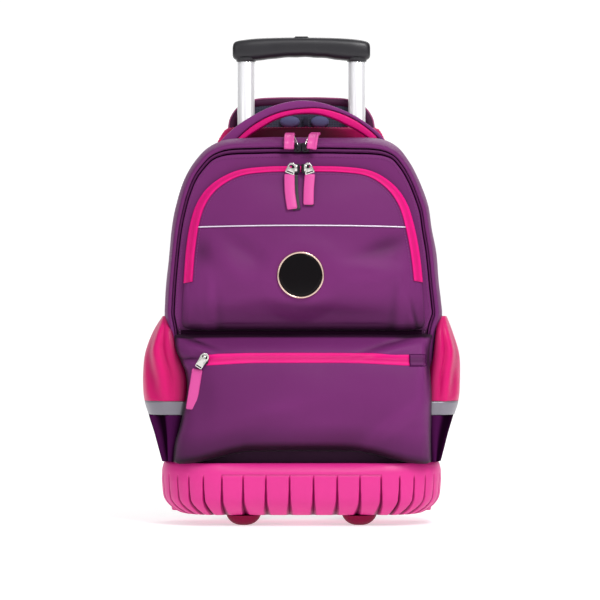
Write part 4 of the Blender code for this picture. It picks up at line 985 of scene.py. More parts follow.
def bore(made, places, radius, height):
    """Cuts upright round holes in a piece and keeps its finishes."""
    for centre in places:
        cutter = Form()
        cutter.lathe([(radius, -height / 2), (radius, height / 2)], centre, "Z", 48, closed=False)
        mesh = bpy.data.meshes.new("cutter")
        mesh.from_pydata([tuple(point) for point in np.array(cutter.points) * MM], [], cutter.faces)
        tool = bpy.data.objects.new("cutter", mesh)
        bpy.context.scene.collection.objects.link(tool)
        cut = made.modifiers.new("hole", "BOOLEAN")
        cut.operation, cut.object = "DIFFERENCE", tool
        settle(made)
        bpy.data.objects.remove(tool)


def settle(made):
    """Applies the modifiers of a piece to its mesh."""
    bpy.context.view_layer.update()
    shaped = bpy.data.meshes.new_from_object(made.evaluated_get(bpy.context.evaluated_depsgraph_get()))
    made.modifiers.clear()
    made.data = shaped


def dress(made, body, nodes=()):
    """Puts a piece on its body and hides the nodes that it stands for."""
    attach(made, body)
    if nodes:
        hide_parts(*nodes)
    return made


def squared(turn, power):
    """Cosine and sine of an angle, drawn out towards a square by a power below 1."""
    return tuple(math.copysign(abs(part) ** power, part) for part in (math.cos(turn), math.sin(turn)))


def oval(width, thickness, count=16, power=0.6):
    """Rounded flat section for a padded bar."""
    points = []
    for turn in ring_turns(count):
        across, up = squared(turn, power)
        points.append((width / 2 * across, thickness / 2 * up))
    return points


def cloth_thickness():
    """Thickness of the bag's cloth in millimetres."""
    return bpy.context.scene.backpack_sizes.cloth / MM


def ripple_height():
    """Height of the cloth's soft unevenness in millimetres."""
    return bpy.context.scene.backpack_sizes.ripple / MM


def front_inset(loop, distance):
    """The shell's outline moved inward on its front, by less down the sides than over the top."""
    return inset(loop, distance * (1 - (1 - ZIP_SIDE_SHARE) * outward(loop)[:, 0] ** 2))


def arch_of(loop, lowest):
    """Points of an outline above a height, in order from the right foot to the left one."""
    return [index for index in range(len(loop)) if loop[index, 1] > lowest]


def build_body():
    """Main compartment: cloth tub, front panel and the zip between them."""
    loop = outline(SHELL_SECTIONS, SHELL_FLOOR, SHELL_CROWN)
    out = outward(loop)
    middle = np.mean(loop, axis=0)
    rear = inset(loop, SHELL_WALL[0][1])
    rows = [upright(middle + (rear - middle) * share, SHELL_REAR) for share in (0.15, 0.4, 0.65, 0.85)]
    for y, distance in resample(smooth_curve(SHELL_WALL, steps=6), 44):
        rows.append(upright(front_inset(loop, distance) if y < 0 else inset(loop, distance), y))
    grid = np.array(rows)
    lift = ripples(grid, 62.0, 3.1) * 1.4 + ripples(grid, 24.0, 8.2) * 0.35
    fade = np.interp(grid[:, :, 1], (-58.0, -44.0, 20.0, 33.0), (0.0, 1.0, 1.0, 0.0))
    low = np.interp(grid[:, :, 2], (60.0, 110.0), (0.0, 1.0))
    amount = lift * fade * low * ripple_height()
    grid[:, :, 0] += out[None, :, 0] * amount
    grid[:, :, 2] += out[None, :, 1] * amount
    # Painted shade low on the shell, where it meets the base under the lower pocket.
    low = np.interp(grid[:, :, 2], (66.0, 76.0, 100.0), (0.95, 0.6, 0.0))
    form = Form()
    form.cloth(grid[::-1], cloth_thickness(), around=True, shade=low[::-1])
    seam = upright(front_inset(loop, FRONT_SEAM[1]), FRONT_SEAM[0])
    form.stitches(*closed_row(seam, upright(out, 0.0)), slot=1)
    form.cord(upright(inset(loop, 1.4), 29.0), 1.5, closed=True, across=(0.0, 1.0, 0.0))
    form.piece("bag_shell", "purple_nylon", "purple_thread", nodes=["main_shell"])

    panel = [upright(inset(loop, panel_inset(loop, distance)), y) for distance, y in PANEL_EDGE]
    edge = panel[-1]
    centre = np.array([middle[0], PANEL_EDGE[-1][1], middle[1]])
    panel = np.array(panel + [centre + (edge - centre) * share for share in (0.9, 0.78, 0.6, 0.4, 0.2, 0.05)])
    face = Form()
    # Painted shade on the panel below the lower pocket's hem, behind that pocket and in the gap under the
    # upper pocket.
    heights, levels = (66.0, 74.0, 84.0, 214.0, 224.0, 232.0), (0.55, 0.75, 1.0, 1.0, 0.95, 0.0)
    low = np.interp(panel[:, :, 2], heights, levels)
    face.cloth(panel, cloth_thickness(), around=True, shade=low)
    arch = arch_of(loop, ZIP_FOOT)
    row = upright(front_inset(loop, PANEL_EDGE[-1][0] - 2.5), PANEL_EDGE[-1][1] - 0.1)[arch]
    face.stitches(row, (0, -1, 0), slot=1)
    # A near-black strip across the panel in the gap between the two pockets: painted shadow, not a real part
    # of the panel.
    places = np.linspace(-POCKET_GAP_SHADOW_REACH, POCKET_GAP_SHADOW_REACH, 40)
    seam = [[(x, PANEL_EDGE[-1][1] - 0.15, z) for x in places] for z in POCKET_GAP_SHADOW_HEIGHTS]
    face.cloth(np.array(seam), -0.1, slot=2)
    face.piece("front_panel_cloth", "purple_nylon", "purple_thread", "seam_shadow", nodes=["front_panel"])

    rows = np.array([upright(front_inset(loop, distance), y)[arch] for distance, y in MAIN_ZIP_ROWS])
    # The rows at the gaps beside the tape take the near-black seam_shadow finish: painted shadow in the
    # grooves.
    kinds = [int(row in MAIN_ZIP_GAPS) for row in range(len(rows) - 1)]
    band = Form()
    band.cloth(rows, 0.9, slots=kinds, along=np.array([lengths(line) for line in rows]))
    finishes = ("purple_zip_tape", "seam_shadow")
    band.piece("main_zip_band", *finishes, nodes=["main_zipper"], slot="dark_purple_nylon")


def panel_inset(loop, distance):
    """Inset of the front panel's edge, wider inside the zip and at the side seam below it."""
    share = np.interp(loop[:, 1], (ZIP_FOOT - 22.0, ZIP_FOOT), (0.0, 1.0))
    above = distance * (1 - (1 - ZIP_SIDE_SHARE) * outward(loop)[:, 0] ** 2)
    return above * share + (distance - PANEL_EDGE[0][0] + PANEL_SEAM_INSET) * (1 - share)


def polar_reach(turns, offsets):
    """How far an outline lies from its middle in each direction."""
    angles = np.arctan2(offsets[:, 1], offsets[:, 0])
    order = np.argsort(angles)
    return np.interp(turns, angles[order], np.linalg.norm(offsets, axis=1)[order], period=2 * math.pi)


class UpperFace:
    """Shape of the upper pocket's face over its outline."""

    def __init__(self):
        self.loop = outline(UPPER_SECTIONS, UPPER_FLOOR, UPPER_CROWN, 300)
        self.spans = np.sum((self.loop - UPPER_CENTRE) * outward(self.loop), axis=1)
        self.edge = self.ring(UPPER_EDGE[-1][0])
        offsets = self.edge - UPPER_CENTRE
        self.turns = np.radians(np.arange(-180.0, 180.0, 2.0))
        reaches = polar_reach(self.turns, offsets)
        spread = np.exp(-((np.arange(-12, 13) / 5.5) ** 2))
        padded = np.concatenate([reaches[-12:], reaches, reaches[:12]])
        self.reaches = np.convolve(padded, spread / spread.sum(), "valid")
        self.rise = smooth_curve(UPPER_EDGE, steps=8)
        self.seat = POCKET_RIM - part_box("badge_ring")[1].y / MM - 0.1

    def ring(self, distance):
        """The outline moved in by a distance, along lines to the pocket's middle."""
        return UPPER_CENTRE + (self.loop - UPPER_CENTRE) * (1 - distance / self.spans)[:, None]

    def depth(self, x, z):
        """How far the face stands off the pocket's rim."""
        x, z = np.asarray(x, float), np.asarray(z, float)
        turn = np.arctan2(z - UPPER_CENTRE[1], x - UPPER_CENTRE[0])
        reach = np.interp(turn, self.turns, self.reaches, period=2 * math.pi)
        share = np.minimum(np.hypot(x - UPPER_CENTRE[0], z - UPPER_CENTRE[1]) / reach, 1.0)
        swell = UPPER_SWELL * (1 - share ** 2.6)
        fade = 1 - share ** 8
        soft = cloth_ripple(x, z, 1.7)
        depth = UPPER_EDGE[-1][1] + swell + fade * (soft - fold_depth(UPPER_FOLDS, x, z))
        away = np.interp(np.hypot(x - BADGE_CENTRE[0], z - BADGE_CENTRE[1]), BADGE_SEAT, (0.0, 1.0))
        away = away ** 2 * (3 - 2 * away)
        return self.seat * (1 - away) + depth * away

    def at(self, distance):
        """Ring of the pocket's surface at a distance inside its outline, or one for each point."""
        distance = np.broadcast_to(np.asarray(distance, float), len(self.loop))
        ring = self.ring(distance)
        lift = np.interp(distance, self.rise[:, 0], self.rise[:, 1])
        inner = distance > UPPER_EDGE[-1][0]
        lift = np.where(inner, self.depth(ring[:, 0], ring[:, 1]), lift)
        return upright(ring, POCKET_RIM - lift)


def build_upper_pocket():
    """Upper pocket with its zip band and reflective piping."""
    face = UpperFace()
    rows = [face.at(0.0)]
    rows += [upright(face.ring(distance), POCKET_RIM - lift) for distance, lift in face.rise[1:]]
    for share in np.linspace(0.0, 0.965, 46)[1:] ** 1.1:
        flat = face.edge + (UPPER_CENTRE - face.edge) * share
        rows.append(upright(flat, POCKET_RIM - face.depth(flat[:, 0], flat[:, 1])))
    grid = np.array(rows)
    # Painted shade along the rim where the face meets the panel, under the pocket's rolled-under bottom, and
    # down in its folds, with a little painted light on fold crests.
    shade = np.interp(POCKET_RIM - grid[:, :, 1], (0.0, 3.0, 9.0), (0.85, 0.4, 0.0))
    shade *= np.interp(np.arange(len(rows)), (8, 11), (1.0, 0.0))[:, None]
    low = np.interp(grid[:, :, 2], (226.4, 230.0, 238.0, 266.0), (1.0, 0.8, 0.36, 0.0))
    inside = np.interp(np.arange(len(rows)), (9, 16), (0.0, 1.0))[:, None]
    dark = creases(UPPER_FOLDS, grid[:, :, 0], grid[:, :, 2]) * inside
    form = Form()
    form.cloth(grid, cloth_thickness(), around=True, shade=np.clip(np.maximum(shade, low) + dark, -0.15, 1.0))
    tip = grid[-1]
    centre = np.mean(tip, axis=0)
    form.add(np.vstack([tip, centre]), [((i + 1) % len(tip), i, len(tip)) for i in range(len(tip))])
    width = UPPER_ZIP_LEAST + UPPER_ZIP_SPREAD * np.abs(outward(face.loop)[:, 0]) ** 1.5
    seam = face.at(width + 2.6)
    seam[:, 1] -= 0.1
    arch = arch_of(face.loop, UPPER_ZIP_FOOT)
    form.stitches(seam[arch], (0, -1, 0), slot=1)
    form.piece("upper_pocket_cloth", "purple_nylon", "purple_thread", nodes=["upper_pocket"])

    def spot(share):
        here = face.at(width * share + 0.4)
        upward = face.at(width * share + 1.4) - face.at(np.maximum(width * share - 0.6, 0.0))
        return here, np.roll(here, -1, axis=0) - np.roll(here, 1, axis=0), upward

    band, _ = zip_band(spot, arch)
    band.piece("upper_zip_band", "magenta_zip_tape", nodes=["upper_pocket_zipper"])

    places = np.linspace(*PIPING_REACH, 90)
    heights = PIPING_HEIGHT - PIPING_SAG * (places / PIPING_REACH[1]) ** 2
    line = np.stack([places, POCKET_RIM - face.depth(places, heights) - 0.9, heights], axis=1)
    cord = Form()
    cord.cord(line, 0.75, sides=8, across=(0, 1, 0))
    cord.piece("piping_cord", "reflective_piping", nodes=["reflective_piping"])


def zip_band(spot, keep=slice(None), extra=0.0):
    """Zip band and its rows. The spot function gives a row's points and two directions along the surface."""
    rows, shades = [], []
    for share, lift, shade in ZIP_PROFILE:
        here, sideways, upward = spot(share)
        normal = np.cross(sideways, upward)
        normal /= np.linalg.norm(normal, axis=1, keepdims=True)
        normal *= np.sign(-normal[:, 1:2])
        rows.append((here + normal * (lift + extra))[keep])
        shades.append(np.full(len(rows[-1]), shade))
    band = Form()
    band.cloth(np.array(rows), 0.5, along=np.array([lengths(line) for line in rows]), shade=np.array(shades))
    return band, np.array(rows)


class LowerFace:
    """Shape of the lower pocket's face."""

    def __init__(self):
        depths = smooth_curve(list(zip(LOWER_SHARES, LOWER_DEPTHS)), steps=12)
        self.shares, self.depths = depths[:, 0], depths[:, 1]
        widths = smooth_curve([(row.z, row.left, row.right) for row in LOWER_SECTIONS], steps=8)
        self.heights, self.left, self.right = widths.T
        hems = smooth_curve(list(zip(LOWER_HEM_SIDES, LOWER_HEM_HEIGHTS)), steps=8)
        self.hem_sides, self.hem_heights = hems.T

    def at(self, side, share):
        """Points of the face: side runs from -1 to 1, share from hem to top."""
        side, share = np.broadcast_arrays(np.asarray(side, float), np.asarray(share, float))
        hem = np.interp(np.abs(side), self.hem_sides, self.hem_heights)
        z = hem + share * (LOWER_CROWN - hem)
        left, right = (np.interp(z, self.heights, reaches) for reaches in (self.left, self.right))
        reach = np.where(side > 0, right, left)
        spread = np.maximum(1 - np.abs(side) ** 10, 0.0) ** 0.45
        depth = np.interp(share, self.shares, self.depths) * spread
        x = side * reach
        fade = np.minimum(1.0, depth / 14.0)
        depth = depth + fade * (cloth_ripple(x, z, 4.4) - fold_depth(LOWER_FOLDS, x, z))
        droop = LOWER_DROOP * np.exp(-(((share - 0.07) / 0.07) ** 2))
        droop = droop * np.abs(side) ** 4 * np.clip(depth / 12, 0, 1)
        return np.stack([x, POCKET_RIM - np.maximum(depth, 0.0), z - droop], axis=-1)


def edge_spacing(count, power=2.2):
    """Places from -1 to 1 that gather towards both ends."""
    even = np.linspace(-1, 1, count)
    return np.sign(even) * (1 - (1 - np.abs(even)) ** power)


def build_lower_pocket():
    """Lower pocket with its straight zip and the tab at its end."""
    face = LowerFace()
    sides = edge_spacing(170, 1.7)
    shares = (edge_spacing(90, 1.8) + 1) / 2
    grid = face.at(sides[None, :], shares[:, None])
    # Painted shade under the hem, across the top rows in the gap below the upper pocket, at both side edges
    # and down in the folds, with a little painted light on fold crests, and painted shade growing towards the
    # left.
    shade = np.maximum(
        np.interp(shares, (0.0, 0.045, 0.095, 0.24), (1.0, 1.0, 0.35, 0.0))[:, None],
        np.interp(shares, (0.962, 0.978, 1.0), (0.0, 0.95, 1.0))[:, None],
    )
    sideways = np.interp(np.abs(sides), (0.965, 0.992, 1.0), (0.0, 0.8, 1.0))[None, :]
    form = Form()
    dark = creases(LOWER_FOLDS, grid[:, :, 0], grid[:, :, 2])
    wear_and_painted_shade = np.interp(grid[:, :, 0], LOWER_SHADE_PLACES, LOWER_SHADES)
    form.cloth(grid, -cloth_thickness(), shade=np.clip(np.maximum(shade, sideways) + dark + wear_and_painted_shade, -0.15, 1.0))
    for share in (LOWER_ZIP_SHARES[0] - 0.022, LOWER_ZIP_SHARES[1] + 0.022):
        line = face.at(np.linspace(-0.9, 0.95, 120), share)
        line[:, 1] -= 0.5
        form.stitches(line, (0, -1, 0.2), slot=1)
    form.piece("lower_pocket_cloth", "purple_nylon", "purple_thread", nodes=["lower_pocket"])
    lower_band("lower_zip_band", face, LOWER_ZIP_SIDES, "magenta_zip_tape", "lower_pocket_zipper")
    lower_band("zip_tab", face, LOWER_TAB_SIDES, "purple_zip_tape", "zipper_end_tab")


def lower_band(name, face, sides, tape, node):
    """Zip band on the lower pocket's face."""
    places = np.linspace(*sides, 110)
    start, end = LOWER_ZIP_SHARES

    def spot(share):
        here = face.at(places, start + (end - start) * share)
        return here, face.at(places, start + (end - start) * share + 0.01) - here, np.gradient(here, axis=0)

    band, edge = zip_band(spot, extra=0.4)
    slot = "magenta_zip_tape"
    if tape != slot:
        slot = "dark_purple_nylon"
        rim = np.concatenate([edge[0], edge[1:, -1], edge[-1, ::-1], edge[:0:-1, 0]])
        rim = resample(rim, 120, closed=True) + (0, -0.9, 0)
        band.cord(rim, 0.6, slot=1, closed=True, across=(0, 1, 0))
    band.piece(name, tape, "dark_purple_nylon", nodes=[node], slot=slot)


def side_surface(sign, heights, columns=150):
    """Grid of a side pocket from its front seam round to its rear seam at heights, and the painted shade and
    light of its gathers and its fold.
    """
    table = smooth_curve([tuple(row) for row in SIDE_ROWS], steps=8)
    table = table[np.argsort(table[:, 0])]
    even = np.linspace(-1, 1, columns)
    swing = np.radians(np.sign(even) * 90 * np.abs(even) ** 0.8)
    bulge = np.maximum(np.cos(swing), 0.0) ** SIDE_BULGE_POWER
    edge = np.minimum(1.0, (np.radians(90) - np.abs(swing)) / 0.25)
    grid, shades = [], []
    for z in heights:
        reach = np.interp(z, table[:, 0], table[:, 1 if sign < 0 else 2])
        front, front_y = (np.interp(z, table[:, 0], table[:, column]) for column in (3 if sign < 0 else 4, 5))
        start = np.where(swing < 0, front, SIDE_REAR[0])
        end = np.where(swing < 0, front_y, SIDE_REAR[1])
        x = start + (reach - start) * bulge
        y = SIDE_CENTRE_Y + (end - SIDE_CENTRE_Y) * np.abs(np.sin(swing)) ** SIDE_BULGE_POWER
        full = np.interp(z, list(GATHER_HEIGHTS), list(GATHER_HEIGHTS.values())) * edge
        crest = np.interp(z, GATHER_LEVELS, GATHER_PLACES)
        pitch = np.where(swing < 0, GATHER_PITCH, GATHER_PITCH * 0.7)
        wave = np.cos(2 * math.pi * (bulge - crest) / pitch) * 0.7
        wave = wave + np.sin(swing * 9 + z * 0.03 * sign) * 0.25 * np.sin(z * 0.05 + 1.0)
        # Painted shade in the valleys of the gathers and a little painted light on their crests.
        shade = np.clip(-wave * full * 0.055, -0.10, 0.30)
        x = x + full * wave * bulge * 0.3
        y = y - full * wave * np.sign(-swing) * (1 - bulge * 0.6)
        # Below the reflective band a fold runs down the front of the panel, with near-black painted shade in
        # it.
        if z < 127.7:
            place, width, depth = SIDE_CREASES[sign]
            place = place + (z - 88.0) * 0.0026
            streak = np.exp(-(((bulge - place) / width) ** 4)) * (swing < 0)
            x = x - streak * depth * 0.5
            y = y + streak * depth
            shade = streak * 0.98
        grid.append(np.stack([x * sign, y, np.full_like(x, z)], axis=1))
        shades.append(shade)
    return np.array(grid), np.array(shades)


def moved(column, x, y):
    """A column of points moved sideways and back."""
    return np.stack([column[:, :, 0] + x, column[:, :, 1] + y, column[:, :, 2]], axis=2)


def build_side_pockets():
    """Side pockets: gathered magenta cloth, a reflective band and dark cloth below."""
    tuck, depth = SIDE_TUCK
    for side, sign in SIDES:
        for name, (top, bottom, slot, rows) in SIDE_BANDS.items():
            grid, shade = side_surface(sign, np.linspace(top, bottom, rows))
            seam, rear = grid[:, :1], grid[:, -1:]
            inward = -sign * tuck * np.clip((205.0 - seam[:, :, 2]) / 60.0, 0.05, 1.0)
            inner = [moved(seam, inward * share, depth) for share in (1.0, 0.5, 0.12)]
            wall = np.interp(rear[:, :, 2], *zip(*((row.z, row.left) for row in SHELL_SECTIONS)))
            reach = sign * (SIDE_REAR[0] - wall + 1.2)
            outer = [moved(rear, -reach * share, -share) for share in (0.3, 0.7, 1.0)]
            grid = np.concatenate([*inner, grid, *outer], axis=1)
            shade = np.concatenate([np.zeros((rows, 3)), shade, np.zeros((rows, 3))], axis=1)
            # Painted shade where the cloth tucks in at the front seam, and a little painted light just beyond
            # it.
            front = np.interp(np.arange(grid.shape[1]), (0, 3, 7, 16), (0.9, 0.7, 0.25, -0.1))
            shade = np.maximum(shade, front)
            form = Form()
            form.cloth(grid, sign * cloth_thickness(), shade=shade)
            if name == "side_pocket_upper":
                hem = side_surface(sign, [top - 7.0])[0][0]
                form.stitches(hem + np.array([sign * 0.15, 0, 0]), (sign, 0, 0), slot=1)
                form.cord(side_surface(sign, [top - 0.6])[0][0], 1.5, across=(0, 0, 1))
            form.piece(f"{name}_{side}_cloth", slot, "magenta_thread", nodes=[f"{name}_{side}"])


def base_plan(travel):
    """Places and outward directions on the base's plan, at distances from the middle of its front."""
    sign = np.where(travel >= 0, 1.0, -1.0)
    travel = np.abs(travel)
    flat, side, rear = BASE_HALF_WIDTH - BASE_CORNER, *base_stretches()
    turn = np.clip((travel - flat) / BASE_CORNER, 0.0, math.pi / 2)
    back = np.clip((travel - side) / BASE_REAR_CORNER, 0.0, math.pi / 2)
    x = np.minimum(travel, flat) + BASE_CORNER * np.sin(turn)
    x = x - BASE_REAR_CORNER * (1 - np.cos(back)) - np.maximum(travel - rear, 0.0)
    y = BASE_FRONT + BASE_CORNER * (1 - np.cos(turn)) + BASE_REAR_CORNER * np.sin(back)
    y = y + np.clip(travel - flat - BASE_CORNER * math.pi / 2, 0.0, side - flat - BASE_CORNER * math.pi / 2)
    out = np.stack([sign * np.sin(turn + back), -np.cos(turn + back)], axis=-1)
    return np.stack([sign * x, y], axis=-1), out


def base_stretches():
    """Distances along the base's plan at which its rear corner starts and ends."""
    start = BASE_HALF_WIDTH - BASE_CORNER + BASE_CORNER * math.pi / 2
    start += BASE_REAR - BASE_FRONT - BASE_CORNER - BASE_REAR_CORNER
    return start, start + BASE_REAR_CORNER * math.pi / 2


def base_grooves():
    """Distance of each groove from the middle of the front, on one side."""
    places = [RIB_PITCH / 2]
    for index in range(1, RIB_COUNT):
        places.append(places[-1] + max(RIB_LEAST_PITCH, RIB_PITCH - RIB_NARROWING * index ** 2))
    return np.array(places)


def build_base():
    """Ribbed moulded tub under the bag."""
    grooves = base_grooves()
    corner, rear = base_stretches()
    end = rear + BASE_HALF_WIDTH - BASE_REAR_CORNER
    half = [0.0, *np.linspace(corner, rear, 14), *np.linspace(rear, end, 24)[1:]]
    for groove in grooves:
        half += list(groove + np.array(GROOVE_STEPS))
    half = np.array(sorted(set(place for place in half if 0 <= place <= end)))
    travel = np.concatenate([-half[-2:0:-1], half])
    both = np.concatenate([-grooves, grooves])
    gap = np.abs(travel[None, :] - both[:, None])
    nearest = np.min(gap, axis=0)
    profile = resample(smooth_curve(BASE_PROFILE, steps=8), 64)
    side_share = np.interp(np.abs(travel), BASE_LIP_TURN, (1.0, BASE_LIP_SIDE_SHARE))
    rear_share = np.interp(np.abs(travel), (corner, rear), (1.0, BASE_REAR_SHARE))
    rows, shades = [], []
    for z, distance in profile:
        width = np.interp(z, GROOVE_HEIGHTS, GROOVE_HALF_WIDTHS)
        depth = np.interp(z, GROOVE_HEIGHTS, GROOVE_DEPTHS)
        dig = np.maximum(1 - nearest / width, 0.0) ** 0.8
        bent = np.interp(np.abs(travel), BASE_BEND, (0.0, 1.0)) * GROOVE_CURVE
        bent = bent * max((30.0 - z) / 18.0, 0.0) ** 1.6
        rib = RIB_PILLOW * np.clip(nearest / 9.0, 0, 1) ** 0.6 * np.interp(z, (14, 24, 52, 60), (0, 1, 1, 0))
        line = 0.9 * math.exp(-(((z - PANEL_LINE[0]) / 0.8) ** 2)) * (np.abs(travel) < PANEL_LINE[1])
        share = side_share if z > BASE_LIP_START else rear_share
        sunk = distance * share + dig * depth - rib + line + RIB_PILLOW
        place, out = base_plan(travel - np.sign(travel) * bent)
        flat = place - out * np.reshape(sunk, (-1, 1))
        rows.append(np.column_stack([flat, np.full(len(travel), z)]))
        # Painted shade down in the grooves, deepest low on the base, and along the panel line.
        depth_shade = np.interp(z, (12, 30, 54, 59), (0.97, 0.8, 0.6, 0.0))
        shades.append(np.clip(dig ** 0.6 * depth_shade + line * 0.3, 0, 1))
    grid = np.array(rows)
    form = Form()
    form.grid(grid, around=True, shade=np.array(shades))
    lid = grid[-1].copy()
    lid[:, 2] = BASE_LID
    form.grid(np.array([grid[-1], lid]), around=True)
    for ring in (grid[0], lid):
        middle = np.array([0.0, -20.0, ring[0, 2]])
        form.grid(np.array([middle + (ring - middle) * share for share in (1.0, 0.6, 0.2)]), around=True)
        form.add(middle + (ring - middle) * 0.2, [tuple(range(len(ring)))])
    form.piece("ribbed_base", "pink_rubber", nodes=["base_shell"], sharp=50)


def build_feet_and_wheels():
    """Domed feet, and the wheels with their hubs and axles."""
    for side, sign in SIDES:
        foot = Form()
        foot.lathe(FOOT_PROFILE, (sign * FOOT_PLACE[0], FOOT_PLACE[1], 0.0), "Z", 48, closed=False)
        foot.piece(f"foot_{side}_dome", "crimson_tyre", nodes=[f"foot_{side}"], sharp=50)
        centre = (sign * TUBE_X, WHEEL_Y, WHEEL_RADIUS)
        tyre = Form()
        tyre.lathe(mirrored(TYRE_PROFILE), centre, "X", 96)
        tyre.piece(f"tyre_{side}", "crimson_tyre", nodes=[f"wheel_tyre_{side}"], body=f"wheel_{side}")
        hub = Form()
        hub.lathe(mirrored(HUB_PROFILE), centre, "X", 72)
        for face in (-1, 1):
            for turn in math.pi * 2 / HUB_SPOKES * np.arange(HUB_SPOKES):
                ahead = np.array([0, math.cos(turn), math.sin(turn)])
                middle = np.array(centre) + (face * SPOKE_OFFSET, 0, 0)
                hub.sweep([middle + ahead * reach for reach in SPOKE_ENDS], (1, 0, 0), SPOKE_SECTION)
        hub.piece(f"hub_{side}", "black_plastic", nodes=[f"wheel_hub_{side}"], body=f"wheel_{side}", sharp=40)
        axle = Form()
        axle.lathe(mirrored(AXLE_PROFILE), centre, "X", 40, closed=False)
        axle.piece(f"axle_{side}_pin", "bright_steel", nodes=[f"axle_{side}"], sharp=40)


def tube_section(radius, groove=True):
    """Section of a drawn tube, with a shallow channel on its front."""
    points = []
    for step in range(72):
        turn = 2 * math.pi * step / 72
        sink = 0.0
        if groove:
            off = (math.degrees(turn) - 270 - TUBE_GROOVE[0] + 180) % 360 - 180
            sink = TUBE_GROOVE[2] * math.exp(-((off / TUBE_GROOVE[1]) ** 4))
        points.append(((radius - sink) * math.cos(turn), (radius - sink) * math.sin(turn)))
    return points


def build_trolley():
    """Telescopic tubes, grip and the frame that carries the wheels."""
    stages = {
        "outer": (OUTER_TUBE, "bag"),
        "middle": (MIDDLE_TUBE, "handle_middle"),
        "inner": (INNER_TUBE, "handle_grip"),
    }
    for side, sign in SIDES:
        for stage, ((radius, inner, low, high), body) in stages.items():
            rims = [(radius - 0.3, low), (radius, low + 0.4), (radius, high - 0.4), (radius - 0.3, high)]
            sections = [(tube_section(size), z) for size, z in rims]
            sections += [(tube_section(inner, groove=False), z) for z in (high, low)]
            rings = [[(sign * TUBE_X + x, TUBE_Y + y, z) for x, y in ring] for ring, z in sections]
            form = Form()
            form.loft(rings, closed=True)
            nodes = [f"{stage}_tube_{side}"]
            form.piece(f"{stage}_tube_{side}_drawn", "polished_aluminium", nodes=nodes, body=body, sharp=40)
    ridge, pitch, reach = GRIP_RIDGES
    rings = []
    for x, depth, bottom, top in smooth_curve([tuple(station) for station in GRIP_STATIONS], steps=5):
        ring = []
        for turn in 2 * math.pi * np.arange(40) / 40:
            across, up = squared(turn, 0.75)
            wave = ridge * math.sin(x * math.pi / pitch) * (math.sin(turn) < -0.2) * (abs(x) < reach)
            ring.append((x, TUBE_Y + depth * across, (bottom + top) / 2 + ((top - bottom) / 2 + wave) * up))
        rings.append(ring)
    grip = Form()
    grip.loft(rings)
    for _, sign in SIDES:
        grip.lathe(GRIP_COLLAR, (sign * TUBE_X, TUBE_Y, 0.0), "Z", 48)
    grip.block((0, TUBE_Y, GRIP_BUTTON_HEIGHT), GRIP_BUTTON, ease=0.9)
    grip.piece("grip_bar", "black_plastic", nodes=["grip"], body="handle_grip", sharp=60)
    eased("trolley_chassis", "trolley_frame", "black_plastic", 0.7)


def build_back():
    """Band round the tubes, padded back with its arch, and the small pads on it."""
    build_housing()
    loop = outline(BACK_SECTIONS, BACK_FLOOR, BACK_CROWN)
    middle = np.mean(loop, axis=0)
    rows = [upright(inset(loop, distance), y) for y, distance in BACK_BOARD]
    ends = []
    for rim in (rows[0], rows[-1]):
        centre = np.array([middle[0], rim[0, 1], middle[1]])
        ends.append([centre + (rim - centre) * share for share in (0.75, 0.4, 0.05)])
    board = Form()
    board.loft(ends[0][::-1] + rows + ends[1])
    board.cord(upright(inset(loop, 0.6), 68.4), 1.3, slot=1, closed=True, across=(0, 1, 0))
    binding = [upright(inset(loop, inward), 66.3) for inward in (9.0, 4.5, 1.2)]
    board.cloth(np.array(binding), -0.2, around=True, slot=3)
    edges = smooth_curve([(row.z, row.right) for row in BACK_SECTIONS], steps=6)
    outlines = [
        pad_outline(pad, edges, sign) for pad in BACK_PADS for _, sign in SIDES if pad.inner > 0 or sign > 0
    ]
    surface = BACK_BOARD[-1][0]
    for ring in outlines:
        board.stitches(closed_row(upright(inset(ring, -2.6), surface + 0.1))[0], (0, 1, 0), slot=2)
    finishes = ("navy_mesh", "maroon_piping", "navy_thread", "plum_binding")
    board.piece("padded_back", *finishes, nodes=["back_panel"])
    pads = Form()
    for ring in outlines:
        pads.loft([upright(inset(ring, distance), surface + rise) for rise, distance in BACK_PAD_EDGE])
    made = pads.piece("back_pads", "navy_mesh")
    puffed(made, BACK_PAD_CAP, surface + 0.1)

    for side, x, half in YOKE_PADS:
        turns = ring_turns(40)
        ring = np.stack([half * np.cos(turns), np.zeros(40), YOKE_HALF_HEIGHT * np.sin(turns)], axis=1)
        lump = Form()
        lump.loft([ring * share + (x, YOKE_REAR - lift, YOKE_HEIGHT) for share, lift in YOKE_RINGS])
        node = f"yoke_pad_{side}"
        made = lump.piece(f"{node}_lump", "yoke_padding", nodes=[node], slot="navy_mesh")
    hanging = Form()
    hanging.sweep(smooth_curve(HANG_LOOP, steps=6), (1, 0, 0), oval(6.0, 1.5, 12))
    hanging.piece("hanging_loop", "navy_binding", nodes=["hang_loop"], slot="navy_mesh")


